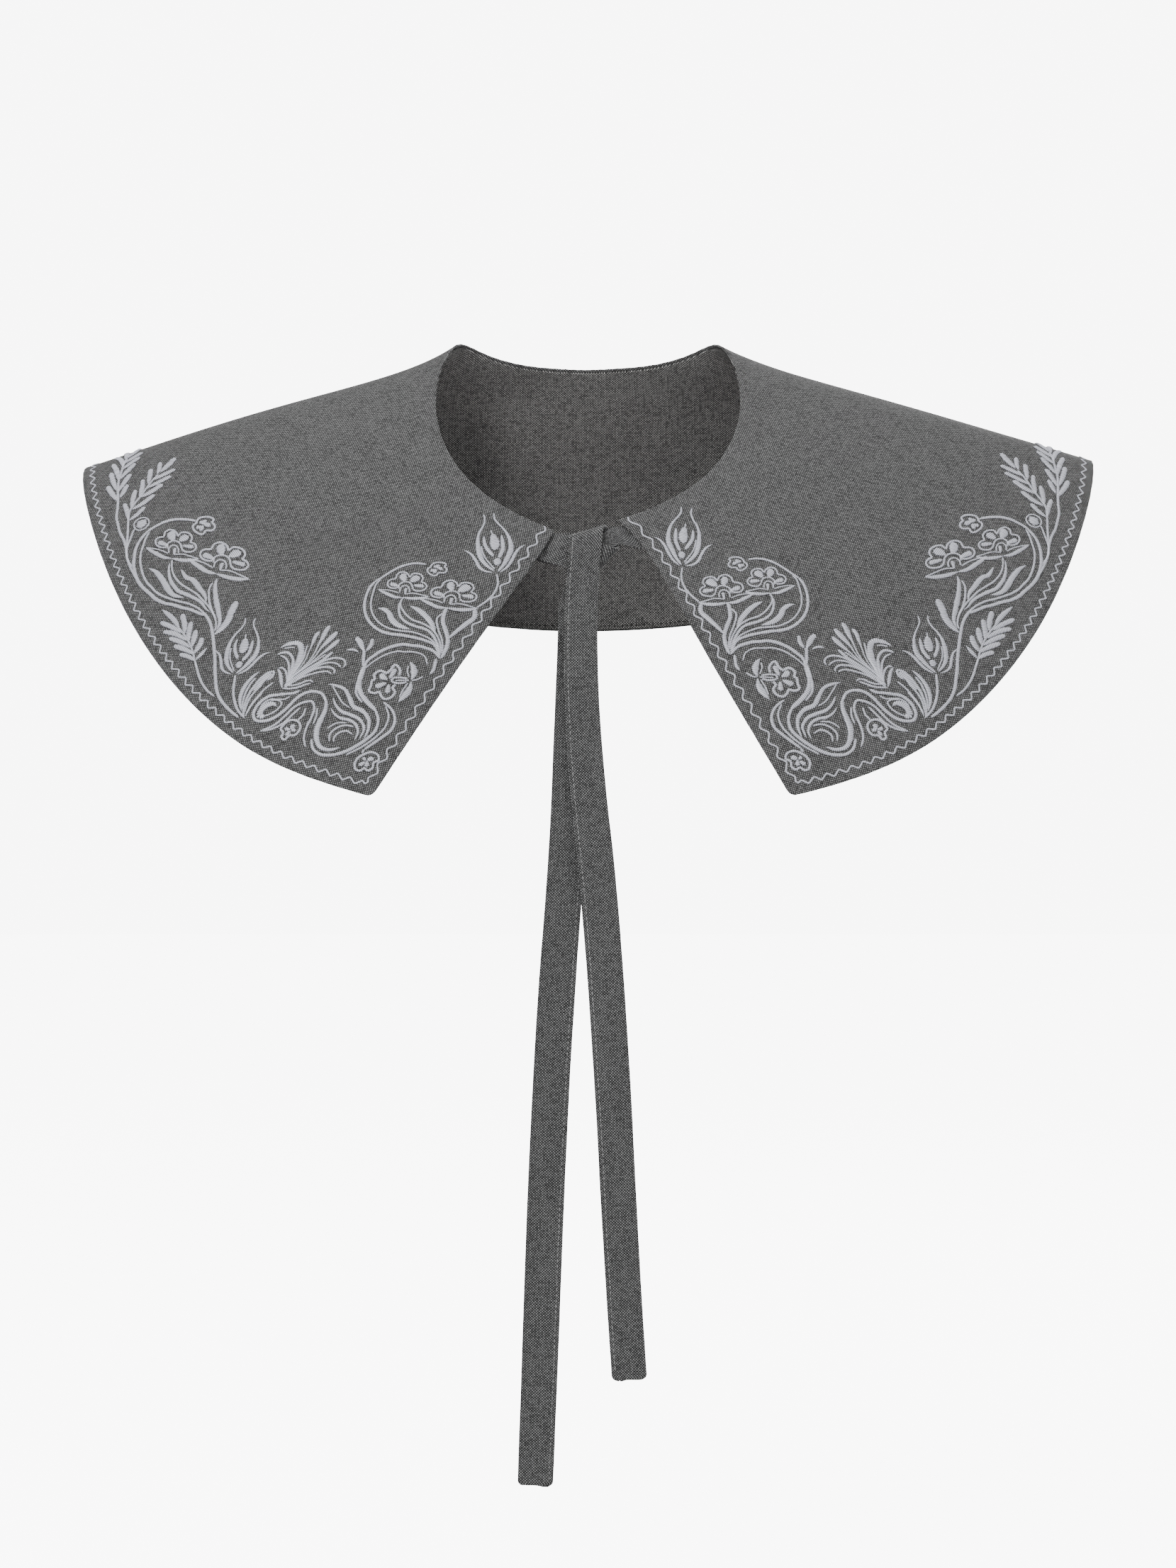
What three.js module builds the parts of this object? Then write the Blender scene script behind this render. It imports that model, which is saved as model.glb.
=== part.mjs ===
// A wide linen collar with two tie straps, shaped as it drapes on shoulders.
// Millimetres. +Z up, front toward -Y, +X to the right seen from the front.
// The origin is the middle of the neck opening, level with its two high points.
import * as THREE from 'three';

// Cloth
const CLOTH = 1.0; // wall of each layer
const LAYER_GAP = 0.3; // air between the outer layer and the facing
const FACING_INSET = 1.2; // the facing stops this far short of the outer layer's edges

// Neck opening
const NECK_HALF_WIDTH = 70.5;
const NECK_FRONT = 66; // how far its front corners lie before the origin
const NECK_BACK = 50; // how far its middle back lies behind the origin
const NECK_FRONT_DROP = 84.5; // height of the front corners below the shoulders
const NECK_BACK_DROP = 11.5;

// Hem
const HEM_HALF_WIDTH = 233;
const HEM_FRONT = 128;
const HEM_BACK = 98;
const SHOULDER_DROP = 54.5; // hem below the origin, on the shoulder line
const TIP_DROP = 203.8; // front tips below the origin
const BACK_HEM_DROP = 135.5;

// Drape
const BULGE = 8; // how far the cloth swells out between neck and hem
const LEFT_STAND = 5; // how far it sinks beside the neck, on the shoulder
const RIGHT_STAND = 2.8;
const STAND_AT = 0.2; // share of the way to the hem where it sinks most
const TIP_SWAY = -3; // both front tips hang a little to the left
const CORNER_STEP = 2.3; // the right neck corner sits higher, the left one lower
const SHOULDER_TILT = 1.3; // the right shoulder's hem sits higher, the left one lower
const RIGHT_BOW = 5; // the front edge bows to the right near the neck
const LEFT_BOW = 1.5;
const NECK_SWAY_SHARE = 0.3;

// Ties
const TIE_WIDTH = 15.5;
const TIE_THICKNESS = 1.2;
const TIE_GAP = 0.3; // between a tie and the facing it is sewn to
const TIE_LAP = 7; // length sewn under the collar
const TIE_BELOW_CORNER = 0.5; // the tie's upper edge lies this far below the neck corner
const KNOT_SLACK = 0.8; // air between two layers of the knot
const LEFT_TIE_LAYER = 1.2; // layers of the knot in front of the neck corners
const RIGHT_TIE_LAYER = 0.2;
const OVER_KNOT = 1.45; // radius of the fold over the knot, in layers
const FRONT_TAIL = 379; // free length of the left tie, from the fold over the knot
const BACK_TAIL = 397; // free length of the right tie, from below the knot

// Facets
const COLUMNS_ROUND = 68;
const ROWS_DOWN = [0, 0.05, 0.1, 0.16, 0.23, 0.32, 0.43, 0.56, 0.7, 0.85, 1];

const LINEN = new THREE.MeshStandardMaterial({ color: 0x8b8b8a, roughness: 0.9, metalness: 0 });
const FACING_LINEN = new THREE.MeshStandardMaterial({ color: 0x7c7b79, roughness: 0.92, metalness: 0 });
const TIE_LINEN = new THREE.MeshStandardMaterial({ color: 0x868685, roughness: 0.9, metalness: 0 });

// Sections from the front edge to the shoulder line. x is a share of the half widths,
// y of the reach to the front (negative) or back, drop of the front drops.
const DRAPE_COLUMNS = [
  'neckX', 'neckY', 'neckDrop', 'hemX', 'hemY', 'hemDrop', 'bulge', 'stand', 'sway', 'tilt', 'bow',
];
const FRONT_SECTIONS = [
  [0.199, -1.0, 1.0, 0.395, -1.0, 1.0, 0.375, 0, 1.0, 0, 1.0],
  [0.411, -0.955, 0.935, 0.515, -0.969, 0.953, 0.625, 0, 0.8, 0, 0.5],
  [0.652, -0.833, 0.828, 0.648, -0.883, 0.867, 0.875, 0, 0.55, 0, 0.15],
  [0.844, -0.652, 0.68, 0.775, -0.734, 0.71, 1.0, 0, 0.3, 0.1, 0],
  [0.962, -0.409, 0.497, 0.882, -0.523, 0.499, 1.0, 0, 0.12, 0.4, 0],
  [1.0, -0.136, 0.308, 0.952, -0.281, 0.278, 0.75, 0.2, 0, 0.8, 0],
  [0.957, 0.18, 0.112, 0.991, -0.078, 0.097, 0.375, 0.5, 0, 1.0, 0],
  [0.884, 0.4, 0.017, 0.998, 0.051, 0.023, 0.125, 0.8, 0, 1.0, 0],
  [0.84, 0.54, 0, 0.996, 0.173, 0, 0, 1.0, 0, 1.0, 0],
];
// The same from behind the shoulder line to the middle of the back, drop of the back drops.
const BACK_SECTIONS = [
  [0.783, 0.66, 0.087, 0.991, 0.296, 0.043, 0.125, 0.8, 0, 1.0, 0],
  [0.645, 0.78, 0.53, 0.94, 0.469, 0.179, 0.375, 0.5, 0, 1.0, 0],
  [0.426, 0.91, 0.87, 0.781, 0.694, 0.5, 0.75, 0.2, 0, 0.7, 0],
  [0.213, 0.98, 0.957, 0.545, 0.867, 0.772, 0.875, 0, 0, 0.3, 0],
  [0.085, 1.0, 0.991, 0.275, 0.969, 0.944, 0.75, 0, 0, 0.1, 0],
  [0, 1.0, 1.0, 0, 1.0, 1.0, 0.75, 0, 0, 0, 0],
];

function named(columns, rows) {
  return rows.map((row) => Object.fromEntries(columns.map((name, i) => [name, row[i]])));
}

// One section in millimetres: neck point, hem point, bulge, stand and bow.
function section(row, side, neckDrop, hemDrop) {
  const neckReach = row.neckY < 0 ? NECK_FRONT : NECK_BACK;
  const hemReach = row.hemY < 0 ? HEM_FRONT : HEM_BACK;
  const sway = TIP_SWAY * row.sway;
  const stand = side > 0 ? RIGHT_STAND : LEFT_STAND;
  const bow = side > 0 ? RIGHT_BOW : LEFT_BOW;
  return [
    side * row.neckX * NECK_HALF_WIDTH + NECK_SWAY_SHARE * sway,
    row.neckY * neckReach,
    -row.neckDrop * neckDrop + side * CORNER_STEP * row.sway,
    side * row.hemX * HEM_HALF_WIDTH + sway,
    row.hemY * hemReach,
    -SHOULDER_DROP - row.hemDrop * (hemDrop - SHOULDER_DROP) + side * SHOULDER_TILT * row.tilt,
    BULGE * row.bulge,
    stand * row.stand,
    bow * row.bow,
  ];
}

function halfCollar(side) {
  const front = named(DRAPE_COLUMNS, FRONT_SECTIONS);
  const back = named(DRAPE_COLUMNS, BACK_SECTIONS);
  return [
    ...front.map((row) => section(row, side, NECK_FRONT_DROP, TIP_DROP)),
    ...back.map((row) => section(row, side, NECK_BACK_DROP, BACK_HEM_DROP)),
  ];
}

// From the left front edge, round the back, to the right front edge.
const SECTIONS = [...halfCollar(-1).slice(0, -1), ...halfCollar(1).reverse()];

// Uniform cubic spline through a list of number rows, starting and ending on its end rows.
function spline(rows, t) {
  const last = rows.length - 1;
  const x = Math.min(Math.max(t, 0), 1) * last;
  const i = Math.min(Math.floor(x), last - 1);
  const f = x - i;
  const at = (k) => {
    if (k < 0) return rows[0].map((v, c) => 2 * v - rows[1][c]);
    if (k > last) return rows[last].map((v, c) => 2 * v - rows[last - 1][c]);
    return rows[k];
  };
  const weights = [(1 - f) ** 3, 3 * f ** 3 - 6 * f ** 2 + 4, -3 * f ** 3 + 3 * f ** 2 + 3 * f + 1, f ** 3];
  const near = [at(i - 1), at(i), at(i + 1), at(i + 2)];
  return near[0].map((_, c) => near.reduce((sum, row, k) => sum + (row[c] * weights[k]) / 6, 0));
}

function neckOf(row) {
  return new THREE.Vector3(row[0], row[1], row[2]);
}

function hemOf(row) {
  return new THREE.Vector3(row[3], row[4], row[5]);
}

// Outer face of the collar: t runs round from the left front edge, s from neck to hem.
function drape(t, s) {
  const row = spline(SECTIONS, t);
  const step = 0.001;
  const before = spline(SECTIONS, Math.max(t - step, 0));
  const after = spline(SECTIONS, Math.min(t + step, 1));
  const run = hemOf(row).sub(neckOf(row));
  const round = neckOf(after).add(hemOf(after)).sub(neckOf(before)).sub(hemOf(before));
  const out = round.cross(run).normalize();
  const [bulge, stand, bow] = row.slice(6);
  const dip = (s / STAND_AT) * Math.exp(1 - s / STAND_AT);
  const point = neckOf(row).addScaledVector(run, s);
  point.addScaledVector(out, bulge * 4 * s * (1 - s) - stand * dip);
  point.x += bow * dip * (1 - s);
  return point;
}

// Direction facing away from the body.
function outward(t, s) {
  const step = 0.002;
  const round = drape(Math.min(t + step, 1), s).sub(drape(Math.max(t - step, 0), s));
  const down = drape(t, Math.min(s + step, 1)).sub(drape(t, Math.max(s - step, 0)));
  return round.cross(down).normalize();
}

function drapeAt(t, s, depth) {
  return drape(t, s).addScaledVector(outward(t, s), -depth);
}

// Closes a grid of front points and a grid of back points into one solid.
// The grids are read [column][row], and the front faces out where column x row does.
function closedShell(front, back) {
  const columns = front.length;
  const rows = front[0].length;
  const points = [...front.flat(), ...back.flat()];
  const first = (c, r) => c * rows + r;
  const second = (c, r) => columns * rows + c * rows + r;
  const faces = [];
  const quad = (a, b, c, d) => faces.push(a, b, c, a, c, d);
  for (let c = 0; c < columns - 1; c += 1) {
    for (let r = 0; r < rows - 1; r += 1) {
      quad(first(c, r), first(c + 1, r), first(c + 1, r + 1), first(c, r + 1));
      quad(second(c, r), second(c, r + 1), second(c + 1, r + 1), second(c + 1, r));
    }
    quad(first(c, 0), second(c, 0), second(c + 1, 0), first(c + 1, 0));
    quad(first(c, rows - 1), first(c + 1, rows - 1), second(c + 1, rows - 1), second(c, rows - 1));
  }
  for (let r = 0; r < rows - 1; r += 1) {
    quad(first(0, r), first(0, r + 1), second(0, r + 1), second(0, r));
    quad(first(columns - 1, r), second(columns - 1, r), second(columns - 1, r + 1), first(columns - 1, r + 1));
  }
  const geometry = new THREE.BufferGeometry();
  const numbers = points.flatMap((p) => [p.x, p.y, p.z]);
  geometry.setAttribute('position', new THREE.Float32BufferAttribute(numbers, 3));
  geometry.setIndex(faces);
  geometry.computeVertexNormals();
  return geometry;
}

// Length of the collar along one of its edges, for turning millimetres into shares of t or s.
function runLength(pointAt) {
  const steps = 200;
  let length = 0;
  for (let i = 0; i < steps; i += 1) {
    length += pointAt((i + 1) / steps).distanceTo(pointAt(i / steps));
  }
  return length;
}

const NECK_LENGTH = runLength((t) => drape(t, 0));
const FRONT_EDGE = runLength((s) => drape(0, s));

// One layer of the collar, between two depths under the outer face.
function layer(topDepth, underDepth, inset) {
  const insetRound = inset / NECK_LENGTH;
  const insetDown = inset / FRONT_EDGE;
  const grid = (depth) => {
    const columns = [];
    for (let c = 0; c <= COLUMNS_ROUND; c += 1) {
      const t = insetRound + (1 - 2 * insetRound) * (c / COLUMNS_ROUND);
      columns.push(ROWS_DOWN.map((share) => drapeAt(t, insetDown + (1 - 2 * insetDown) * share, depth)));
    }
    return columns;
  };
  return closedShell(grid(topDepth), grid(underDepth));
}

const FACING_TOP = CLOTH + LAYER_GAP;
const FACING_UNDER = FACING_TOP + CLOTH;

const TIE_MID_SHARE = (TIE_WIDTH / 2 + TIE_BELOW_CORNER) / FRONT_EDGE;
const TIE_DEPTH = FACING_UNDER + TIE_GAP + TIE_THICKNESS / 2;
const KNOT_LAYER = TIE_THICKNESS + KNOT_SLACK;

// The knot lies in an upright plane between the two neck corners. Its places are shares of the
// tie's width, and its depths are layers, counted toward the front.
const KNOT_MIDDLE = drape(0, 0).add(drape(1, 0)).multiplyScalar(0.5);

function inKnot(right, layersForward, up) {
  const offset = new THREE.Vector3(right * TIE_WIDTH, -layersForward * KNOT_LAYER, up * TIE_WIDTH);
  return offset.add(KNOT_MIDDLE);
}

function headingAt(degrees) {
  const angle = THREE.MathUtils.degToRad(degrees);
  return new THREE.Vector3(Math.cos(angle), 0, Math.sin(angle));
}

// A strap is walked like a strip of paper: it runs on, turns in its own plane, curls out of it,
// twists, and folds over a crease that may lie aslant. Each station keeps the strap's middle,
// the arm from there to one edge, and its thickness.
class Strap {
  constructor(middle, heading, across, width = 1, bunch = 1) {
    this.middle = middle.clone();
    this.heading = heading.clone().normalize();
    this.across = across.clone().addScaledVector(this.heading, -across.dot(this.heading)).normalize();
    this.slant = 0;
    this.width = width;
    this.bunch = bunch;
    this.stations = [];
    this.mark();
  }

  arm() {
    return this.across.clone().addScaledVector(this.heading, Math.tan(this.slant));
  }

  mark() {
    this.stations.push({
      middle: this.middle.clone(),
      arm: this.arm().multiplyScalar((this.width * TIE_WIDTH) / 2),
      thickness: this.bunch * TIE_THICKNESS,
    });
  }

  rotate(axis, degrees) {
    const angle = THREE.MathUtils.degToRad(degrees);
    this.heading.applyAxisAngle(axis, angle);
    this.across.applyAxisAngle(axis, angle);
  }

  run(length, { turn = 0, curl = 0, twist = 0, slant = 0, width, bunch, steps = 3 } = {}) {
    const change = {
      slant: THREE.MathUtils.degToRad(slant) - this.slant,
      width: (width ?? this.width) - this.width,
      bunch: (bunch ?? this.bunch) - this.bunch,
    };
    for (let i = 0; i < steps; i += 1) {
      this.rotate(this.heading.clone().cross(this.across), turn / steps);
      this.rotate(this.across.clone(), curl / steps);
      this.rotate(this.heading.clone(), twist / steps);
      this.middle.addScaledVector(this.heading, length / steps);
      for (const key of Object.keys(change)) this[key] += change[key] / steps;
      this.mark();
    }
    return this;
  }

  foldOver(radius, steps = 6) {
    const crease = this.arm().normalize();
    const stride = (Math.PI * radius) / steps / Math.cos(this.slant);
    for (let i = 0; i < steps; i += 1) {
      this.rotate(crease, 90 / steps);
      this.middle.addScaledVector(this.heading, stride);
      this.rotate(crease, 90 / steps);
      this.mark();
    }
    return this;
  }
}

// The part of a tie that is sewn under the front edge, then its way out to the knot.
function sewnEnd(edge, first) {
  const inside = edge === 0 ? 1 : -1;
  const at = (lap, s) => drapeAt(edge + (inside * lap) / NECK_LENGTH, s, TIE_DEPTH);
  const station = (lap) => {
    const middle = at(lap, TIE_MID_SHARE);
    const arm = at(lap, 0).sub(at(lap, 2 * TIE_MID_SHARE)).normalize();
    return { middle, arm: arm.multiplyScalar((inside * TIE_WIDTH) / 2), thickness: TIE_THICKNESS };
  };
  const sewn = [TIE_LAP, TIE_LAP / 2, 0].map(station);
  const start = sewn[2];
  const reach = start.middle.distanceTo(first.middle) / 3;
  const leave = start.middle.clone().sub(sewn[1].middle).setLength(reach);
  const arrive = first.heading.clone().setLength(reach);
  const way = new THREE.CubicBezierCurve3(
    start.middle,
    start.middle.clone().add(leave),
    first.middle.clone().sub(arrive),
    first.middle,
  );
  const steps = 5;
  for (let i = 1; i < steps; i += 1) {
    const share = i / steps;
    const ease = share * share * (3 - 2 * share);
    sewn.push({
      middle: way.getPoint(share),
      arm: start.arm.clone().lerp(first.stations[0].arm, ease),
      thickness: THREE.MathUtils.lerp(TIE_THICKNESS, first.stations[0].thickness, ease),
    });
  }
  return sewn;
}

// The hanging end: a row for each stretch, its length a share of the tail.
const TAIL_COLUMNS = ['share', 'turn', 'curl', 'twist', 'width'];
const FRONT_TAIL_RUNS = [
  [0.09, 0, -2, 0, 0.88],
  [0.11, 9.5, 4, 3, 1],
  [0.16, 2, -2, 4, 1],
  [0.21, -2, -3, -6, 1],
  [0.19, -1, 3, -5, 1],
  [0.13, 0.5, 2, 4, 1],
  [0.095, 0.5, -2, 2, 1],
  [0.01, 0, 0, 0, 0.86],
  [0.005, 0, 0, 0, 0.6],
];
const BACK_TAIL_RUNS = [
  [0.07, 0, 2, 0, 1],
  [0.16, 0, -2, -3, 1],
  [0.17, -2.3, -2, -4, 1],
  [0.2, 0.6, 3, 5, 1],
  [0.2, 0.2, 1, 6, 1],
  [0.185, 0, -3, -4, 1],
  [0.01, 0, 0, 0, 0.86],
  [0.005, 0, 0, 0, 0.6],
];

function hang(strap, length, runs) {
  for (const { share, ...bend } of named(TAIL_COLUMNS, runs)) strap.run(share * length, bend);
  return strap;
}

// Closes a strap's stations into one solid with square edges.
function strapSolid(stations) {
  const front = [];
  const back = [];
  stations.forEach(({ middle, arm, thickness }, i) => {
    const before = stations[Math.max(i - 1, 0)].middle;
    const after = stations[Math.min(i + 1, stations.length - 1)].middle;
    const face = after.clone().sub(before).cross(arm).setLength(thickness / 2);
    const edges = [-1, 0, 1].map((side) => middle.clone().addScaledVector(arm, side));
    front.push(edges.map((point) => point.clone().add(face)));
    back.push(edges.map((point) => point.clone().sub(face)));
  });
  return closedShell(front, back);
}

// The left tie passes in front, folds up behind the right tie, and falls over the top.
function leftTie() {
  const heading = headingAt(-17);
  const strap = new Strap(inKnot(-0.57, LEFT_TIE_LAYER, -0.73), heading, headingAt(73));
  const first = { middle: strap.middle.clone(), heading, stations: strap.stations.slice() };
  strap.run(1.01 * TIE_WIDTH, { slant: 28, width: 0.9, steps: 5 });
  strap.foldOver(KNOT_LAYER);
  strap.run(0.66 * TIE_WIDTH, { turn: -22, slant: -22, width: 0.85, steps: 5 });
  strap.foldOver(OVER_KNOT * KNOT_LAYER);
  strap.run(0.4 * TIE_WIDTH, { slant: 0 });
  hang(strap, FRONT_TAIL - 0.4 * TIE_WIDTH, FRONT_TAIL_RUNS);
  return [...sewnEnd(0, first), ...strap.stations];
}

// The right tie is bunched inside the left one's loop and turns down behind it.
function rightTie() {
  const heading = headingAt(209);
  const strap = new Strap(inKnot(0.81, RIGHT_TIE_LAYER, -0.34), heading, headingAt(299), 0.5, 1.4);
  const first = { middle: strap.middle.clone(), heading, stations: strap.stations.slice() };
  strap.run(0.84 * TIE_WIDTH, { turn: 6, width: 0.38, bunch: 1.5, steps: 4 });
  strap.run(0.36 * TIE_WIDTH, { turn: 10 });
  strap.run(0.44 * TIE_WIDTH, { turn: 46, width: 0.5, steps: 4 });
  strap.run(0.9 * TIE_WIDTH, { turn: -2.4, width: 1, bunch: 1, steps: 4 });
  hang(strap, BACK_TAIL, BACK_TAIL_RUNS);
  return [...sewnEnd(1, first), ...strap.stations];
}

const collar = new THREE.Group();

function add(name, geometry, material) {
  const mesh = new THREE.Mesh(geometry, material);
  mesh.name = name;
  collar.add(mesh);
}

add('top_collar', layer(0, CLOTH, 0), LINEN);
add('collar_facing', layer(FACING_TOP, FACING_UNDER, FACING_INSET), FACING_LINEN);
add('left_tie', strapSolid(leftTie()), TIE_LINEN);
add('right_tie', strapSolid(rightTie()), TIE_LINEN);

export default collar;
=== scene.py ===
# Dresses the linen collar: draped cloth, knotted ties, satin stitch and weave.
# Shapes are worked out in millimetres, in the part's own frame, and placed in metres.
import math

import bpy
import numpy as np
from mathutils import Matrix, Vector


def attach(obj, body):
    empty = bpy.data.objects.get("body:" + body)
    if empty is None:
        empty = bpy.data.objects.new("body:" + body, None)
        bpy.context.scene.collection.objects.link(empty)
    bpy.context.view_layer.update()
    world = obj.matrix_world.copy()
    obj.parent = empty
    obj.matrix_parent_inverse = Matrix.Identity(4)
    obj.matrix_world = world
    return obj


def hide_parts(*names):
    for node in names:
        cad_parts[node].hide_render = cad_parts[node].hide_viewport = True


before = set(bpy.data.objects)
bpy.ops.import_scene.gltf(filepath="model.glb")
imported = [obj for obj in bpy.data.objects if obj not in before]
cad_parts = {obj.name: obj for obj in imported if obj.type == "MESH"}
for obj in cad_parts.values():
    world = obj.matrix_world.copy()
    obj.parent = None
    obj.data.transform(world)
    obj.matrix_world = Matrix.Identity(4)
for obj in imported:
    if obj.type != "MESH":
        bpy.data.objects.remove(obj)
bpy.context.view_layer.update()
bpy.ops.object.select_all(action="DESELECT")

MM = 0.001

# The collar's own sizes, as in the part's source
NECK_HALF_WIDTH, NECK_FRONT, NECK_BACK = 70.5, 66, 50
NECK_FRONT_DROP, NECK_BACK_DROP = 84.5, 11.5
HEM_HALF_WIDTH, HEM_FRONT, HEM_BACK = 233, 128, 98
SHOULDER_DROP, TIP_DROP, BACK_HEM_DROP = 54.5, 203.8, 135.5
BULGE, LEFT_STAND, RIGHT_STAND, STAND_AT = 8, 5, 2.8, 0.2
TIP_SWAY, CORNER_STEP, SHOULDER_TILT = -3, 2.3, 1.3
RIGHT_BOW, LEFT_BOW, NECK_SWAY_SHARE = 5, 1.5, 0.3
CLOTH, LAYER_GAP, FACING_INSET = 1.0, 0.3, 1.2
TIE_WIDTH, TIE_THICKNESS, TIE_GAP, TIE_LAP, TIE_BELOW_CORNER = 15.5, 1.2, 0.3, 7, 0.5
KNOT_SLACK, LEFT_TIE_LAYER, RIGHT_TIE_LAYER, OVER_KNOT = 0.8, 1.2, 0.2, 1.45
FRONT_TAIL, BACK_TAIL = 379, 397

# Sections from the front edge to the shoulder line, then on to the middle of the back:
# neck x, y, drop, hem x, y, drop, bulge, stand, sway, tilt, bow
FRONT_SECTIONS = [
    (0.199, -1.0, 1.0, 0.395, -1.0, 1.0, 0.375, 0, 1.0, 0, 1.0),
    (0.411, -0.955, 0.935, 0.515, -0.969, 0.953, 0.625, 0, 0.8, 0, 0.5),
    (0.652, -0.833, 0.828, 0.648, -0.883, 0.867, 0.875, 0, 0.55, 0, 0.15),
    (0.844, -0.652, 0.68, 0.775, -0.734, 0.71, 1.0, 0, 0.3, 0.1, 0),
    (0.962, -0.409, 0.497, 0.882, -0.523, 0.499, 1.0, 0, 0.12, 0.4, 0),
    (1.0, -0.136, 0.308, 0.952, -0.281, 0.278, 0.75, 0.2, 0, 0.8, 0),
    (0.957, 0.18, 0.112, 0.991, -0.078, 0.097, 0.375, 0.5, 0, 1.0, 0),
    (0.884, 0.4, 0.017, 0.998, 0.051, 0.023, 0.125, 0.8, 0, 1.0, 0),
    (0.84, 0.54, 0, 0.996, 0.173, 0, 0, 1.0, 0, 1.0, 0),
]
BACK_SECTIONS = [
    (0.783, 0.66, 0.087, 0.991, 0.296, 0.043, 0.125, 0.8, 0, 1.0, 0),
    (0.645, 0.78, 0.53, 0.94, 0.469, 0.179, 0.375, 0.5, 0, 1.0, 0),
    (0.426, 0.91, 0.87, 0.781, 0.694, 0.5, 0.75, 0.2, 0, 0.7, 0),
    (0.213, 0.98, 0.957, 0.545, 0.867, 0.772, 0.875, 0, 0, 0.3, 0),
    (0.085, 1.0, 0.991, 0.275, 0.969, 0.944, 0.75, 0, 0, 0.1, 0),
    (0, 1.0, 1.0, 0, 1.0, 1.0, 0.75, 0, 0, 0, 0),
]
# Hanging ends: share of the length, turn, curl, twist, width
FRONT_TAIL_RUNS = [
    (0.09, 3.5, -2, 0, 0.96),
    (0.11, 4, 4, 3, 1),
    (0.16, 3.8, -2, 4, 1.06),
    (0.21, -2, -3, -6, 1.05),
    (0.19, -1, 3, -5, 1.03),
    (0.13, 0.5, 2, 4, 1.02),
    (0.095, 0.5, -2, 2, 1.02),
    (0.015, 0, 0, 0, 1.02),
]
BACK_TAIL_RUNS = [
    (0.07, -0.8, 2, 0, 1),
    (0.16, 0, -2, -3, 1.02),
    (0.17, -2.3, -2, -4, 1.07),
    (0.2, 1.7, 3, 5, 1.07),
    (0.2, 0.9, 1, 6, 1.06),
    (0.185, 0, -3, -4, 1.03),
    (0.015, 0, 0, 0, 1.02),
]

# The left panel's embroidery, read off a chart laid along its hem. The chart's origin is
# the front tip, x runs toward the hem at CHART_TOWARD and y up into the cloth, in millimetres.
# Each row is one line of satin stitch: how its width runs, the greatest width, and its points.
TULIP_STEM = [
    ("stem", 1.3, "63.6,103.9 59.4,101.7 56,97.8 54.2,92.8 53.4,87.2"),
]
NECK_STEMS = [
    ("stem", 2.4, "60.3,76.4 58.3,73.9 55,71 50,69.4 46,67.8 43,65 40,60.6"),
    ("stem", 1.1, "58.6,73.3 57.8,70 52.8,67.2 47.2,65.6 42.2,62.6"),
    ("blade", 2.4, "46.7,68.6 47.8,73.3 48.9,78.9 50,83.9 53.3,86"),
    ("stem", 1.2, "74.7,63.3 72.8,60.6 67.8,59.4 62.8,60.3 58.3,63.3 53.9,65 48,64.6 42,62"),
    ("stem", 1.6, "73.3,60.6 71.8,59.2 69.7,57.9 66.8,56.9 63.4,57.3 60.5,58.8 53.9,63.3 47,63 41,60.6"),
]
NECK_CURL = [
    ("stem", 1.3, "83.9,81 87.2,76.7 88.9,71.7 89.2,66 88.8,60.6 88.6,56.3"),
    ("stem", 1.8, "88.6,57 87.6,54.2 85.9,51.7 83.4,49 80.1,46.5 76.3,44.8 72.6,44.2 68.8,44.6 65.1,46 "
                  "61.8,48.5 "
                  "59.3,51.5 55.1,55.8 51.3,59.2 46.7,61.7 42,60.6"),
    ("stem", 1.1, "88.2,60 87.2,56.9 85.9,55.4 83.8,53.1 81.3,50.8 78.4,48.8 74.7,47.5 70.5,47.3 66.8,48.3 "
                  "63.4,50.4 60.5,53.3 57.6,56.9 54.7,59.2 50,61.8 44.4,62.2"),
    ("leaf", 3.3, "51.7,65 56,66.2 60.6,66.2 65,65.3 69.2,63.3"),
    ("leaf", 3.4, "59.2,57 61.8,54.8 64.7,53.3 68,52.9 71.3,53.6 73.8,52.9 76.2,50.9"),
]
LEFT_ARCS = [
    ("stem", 1.9, "40,60.2 44.8,59.6 48,57.5 50.1,55.6 52.2,52.9 54.3,50.4 55.7,47.1 56.5,43.3 56.8,40 "
                  "56.5,36.7 "
                  "56.1,33.3 54.6,30.6"),
    ("stem", 1.0, "40.6,53.9 44.4,55 47.8,53.3 50.5,49.6 52.6,46.7 53.8,43.3 54.3,40 54.3,36.7 54,33.3 "
                  "53.4,30.6"),
    ("stem", 1.8, "36,52.2 37,54.8 38.9,56.7 41,58.6"),
]
SPROUT = [
    ("stem", 1.8, "54.6,30 56.5,31.2 58.8,32.9 60.9,34.3 62.6,34.7"),
    ("blade", 2.9, "61,34.4 63.8,34.9 66.3,35.3 68.9,34.9"),
    ("blade", 2.0, "60.4,35 61.6,38.3 64.2,40.8"),
    ("leaf", 1.5, "61.8,32.2 63.8,31.2 65.9,28.3"),
]
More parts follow.
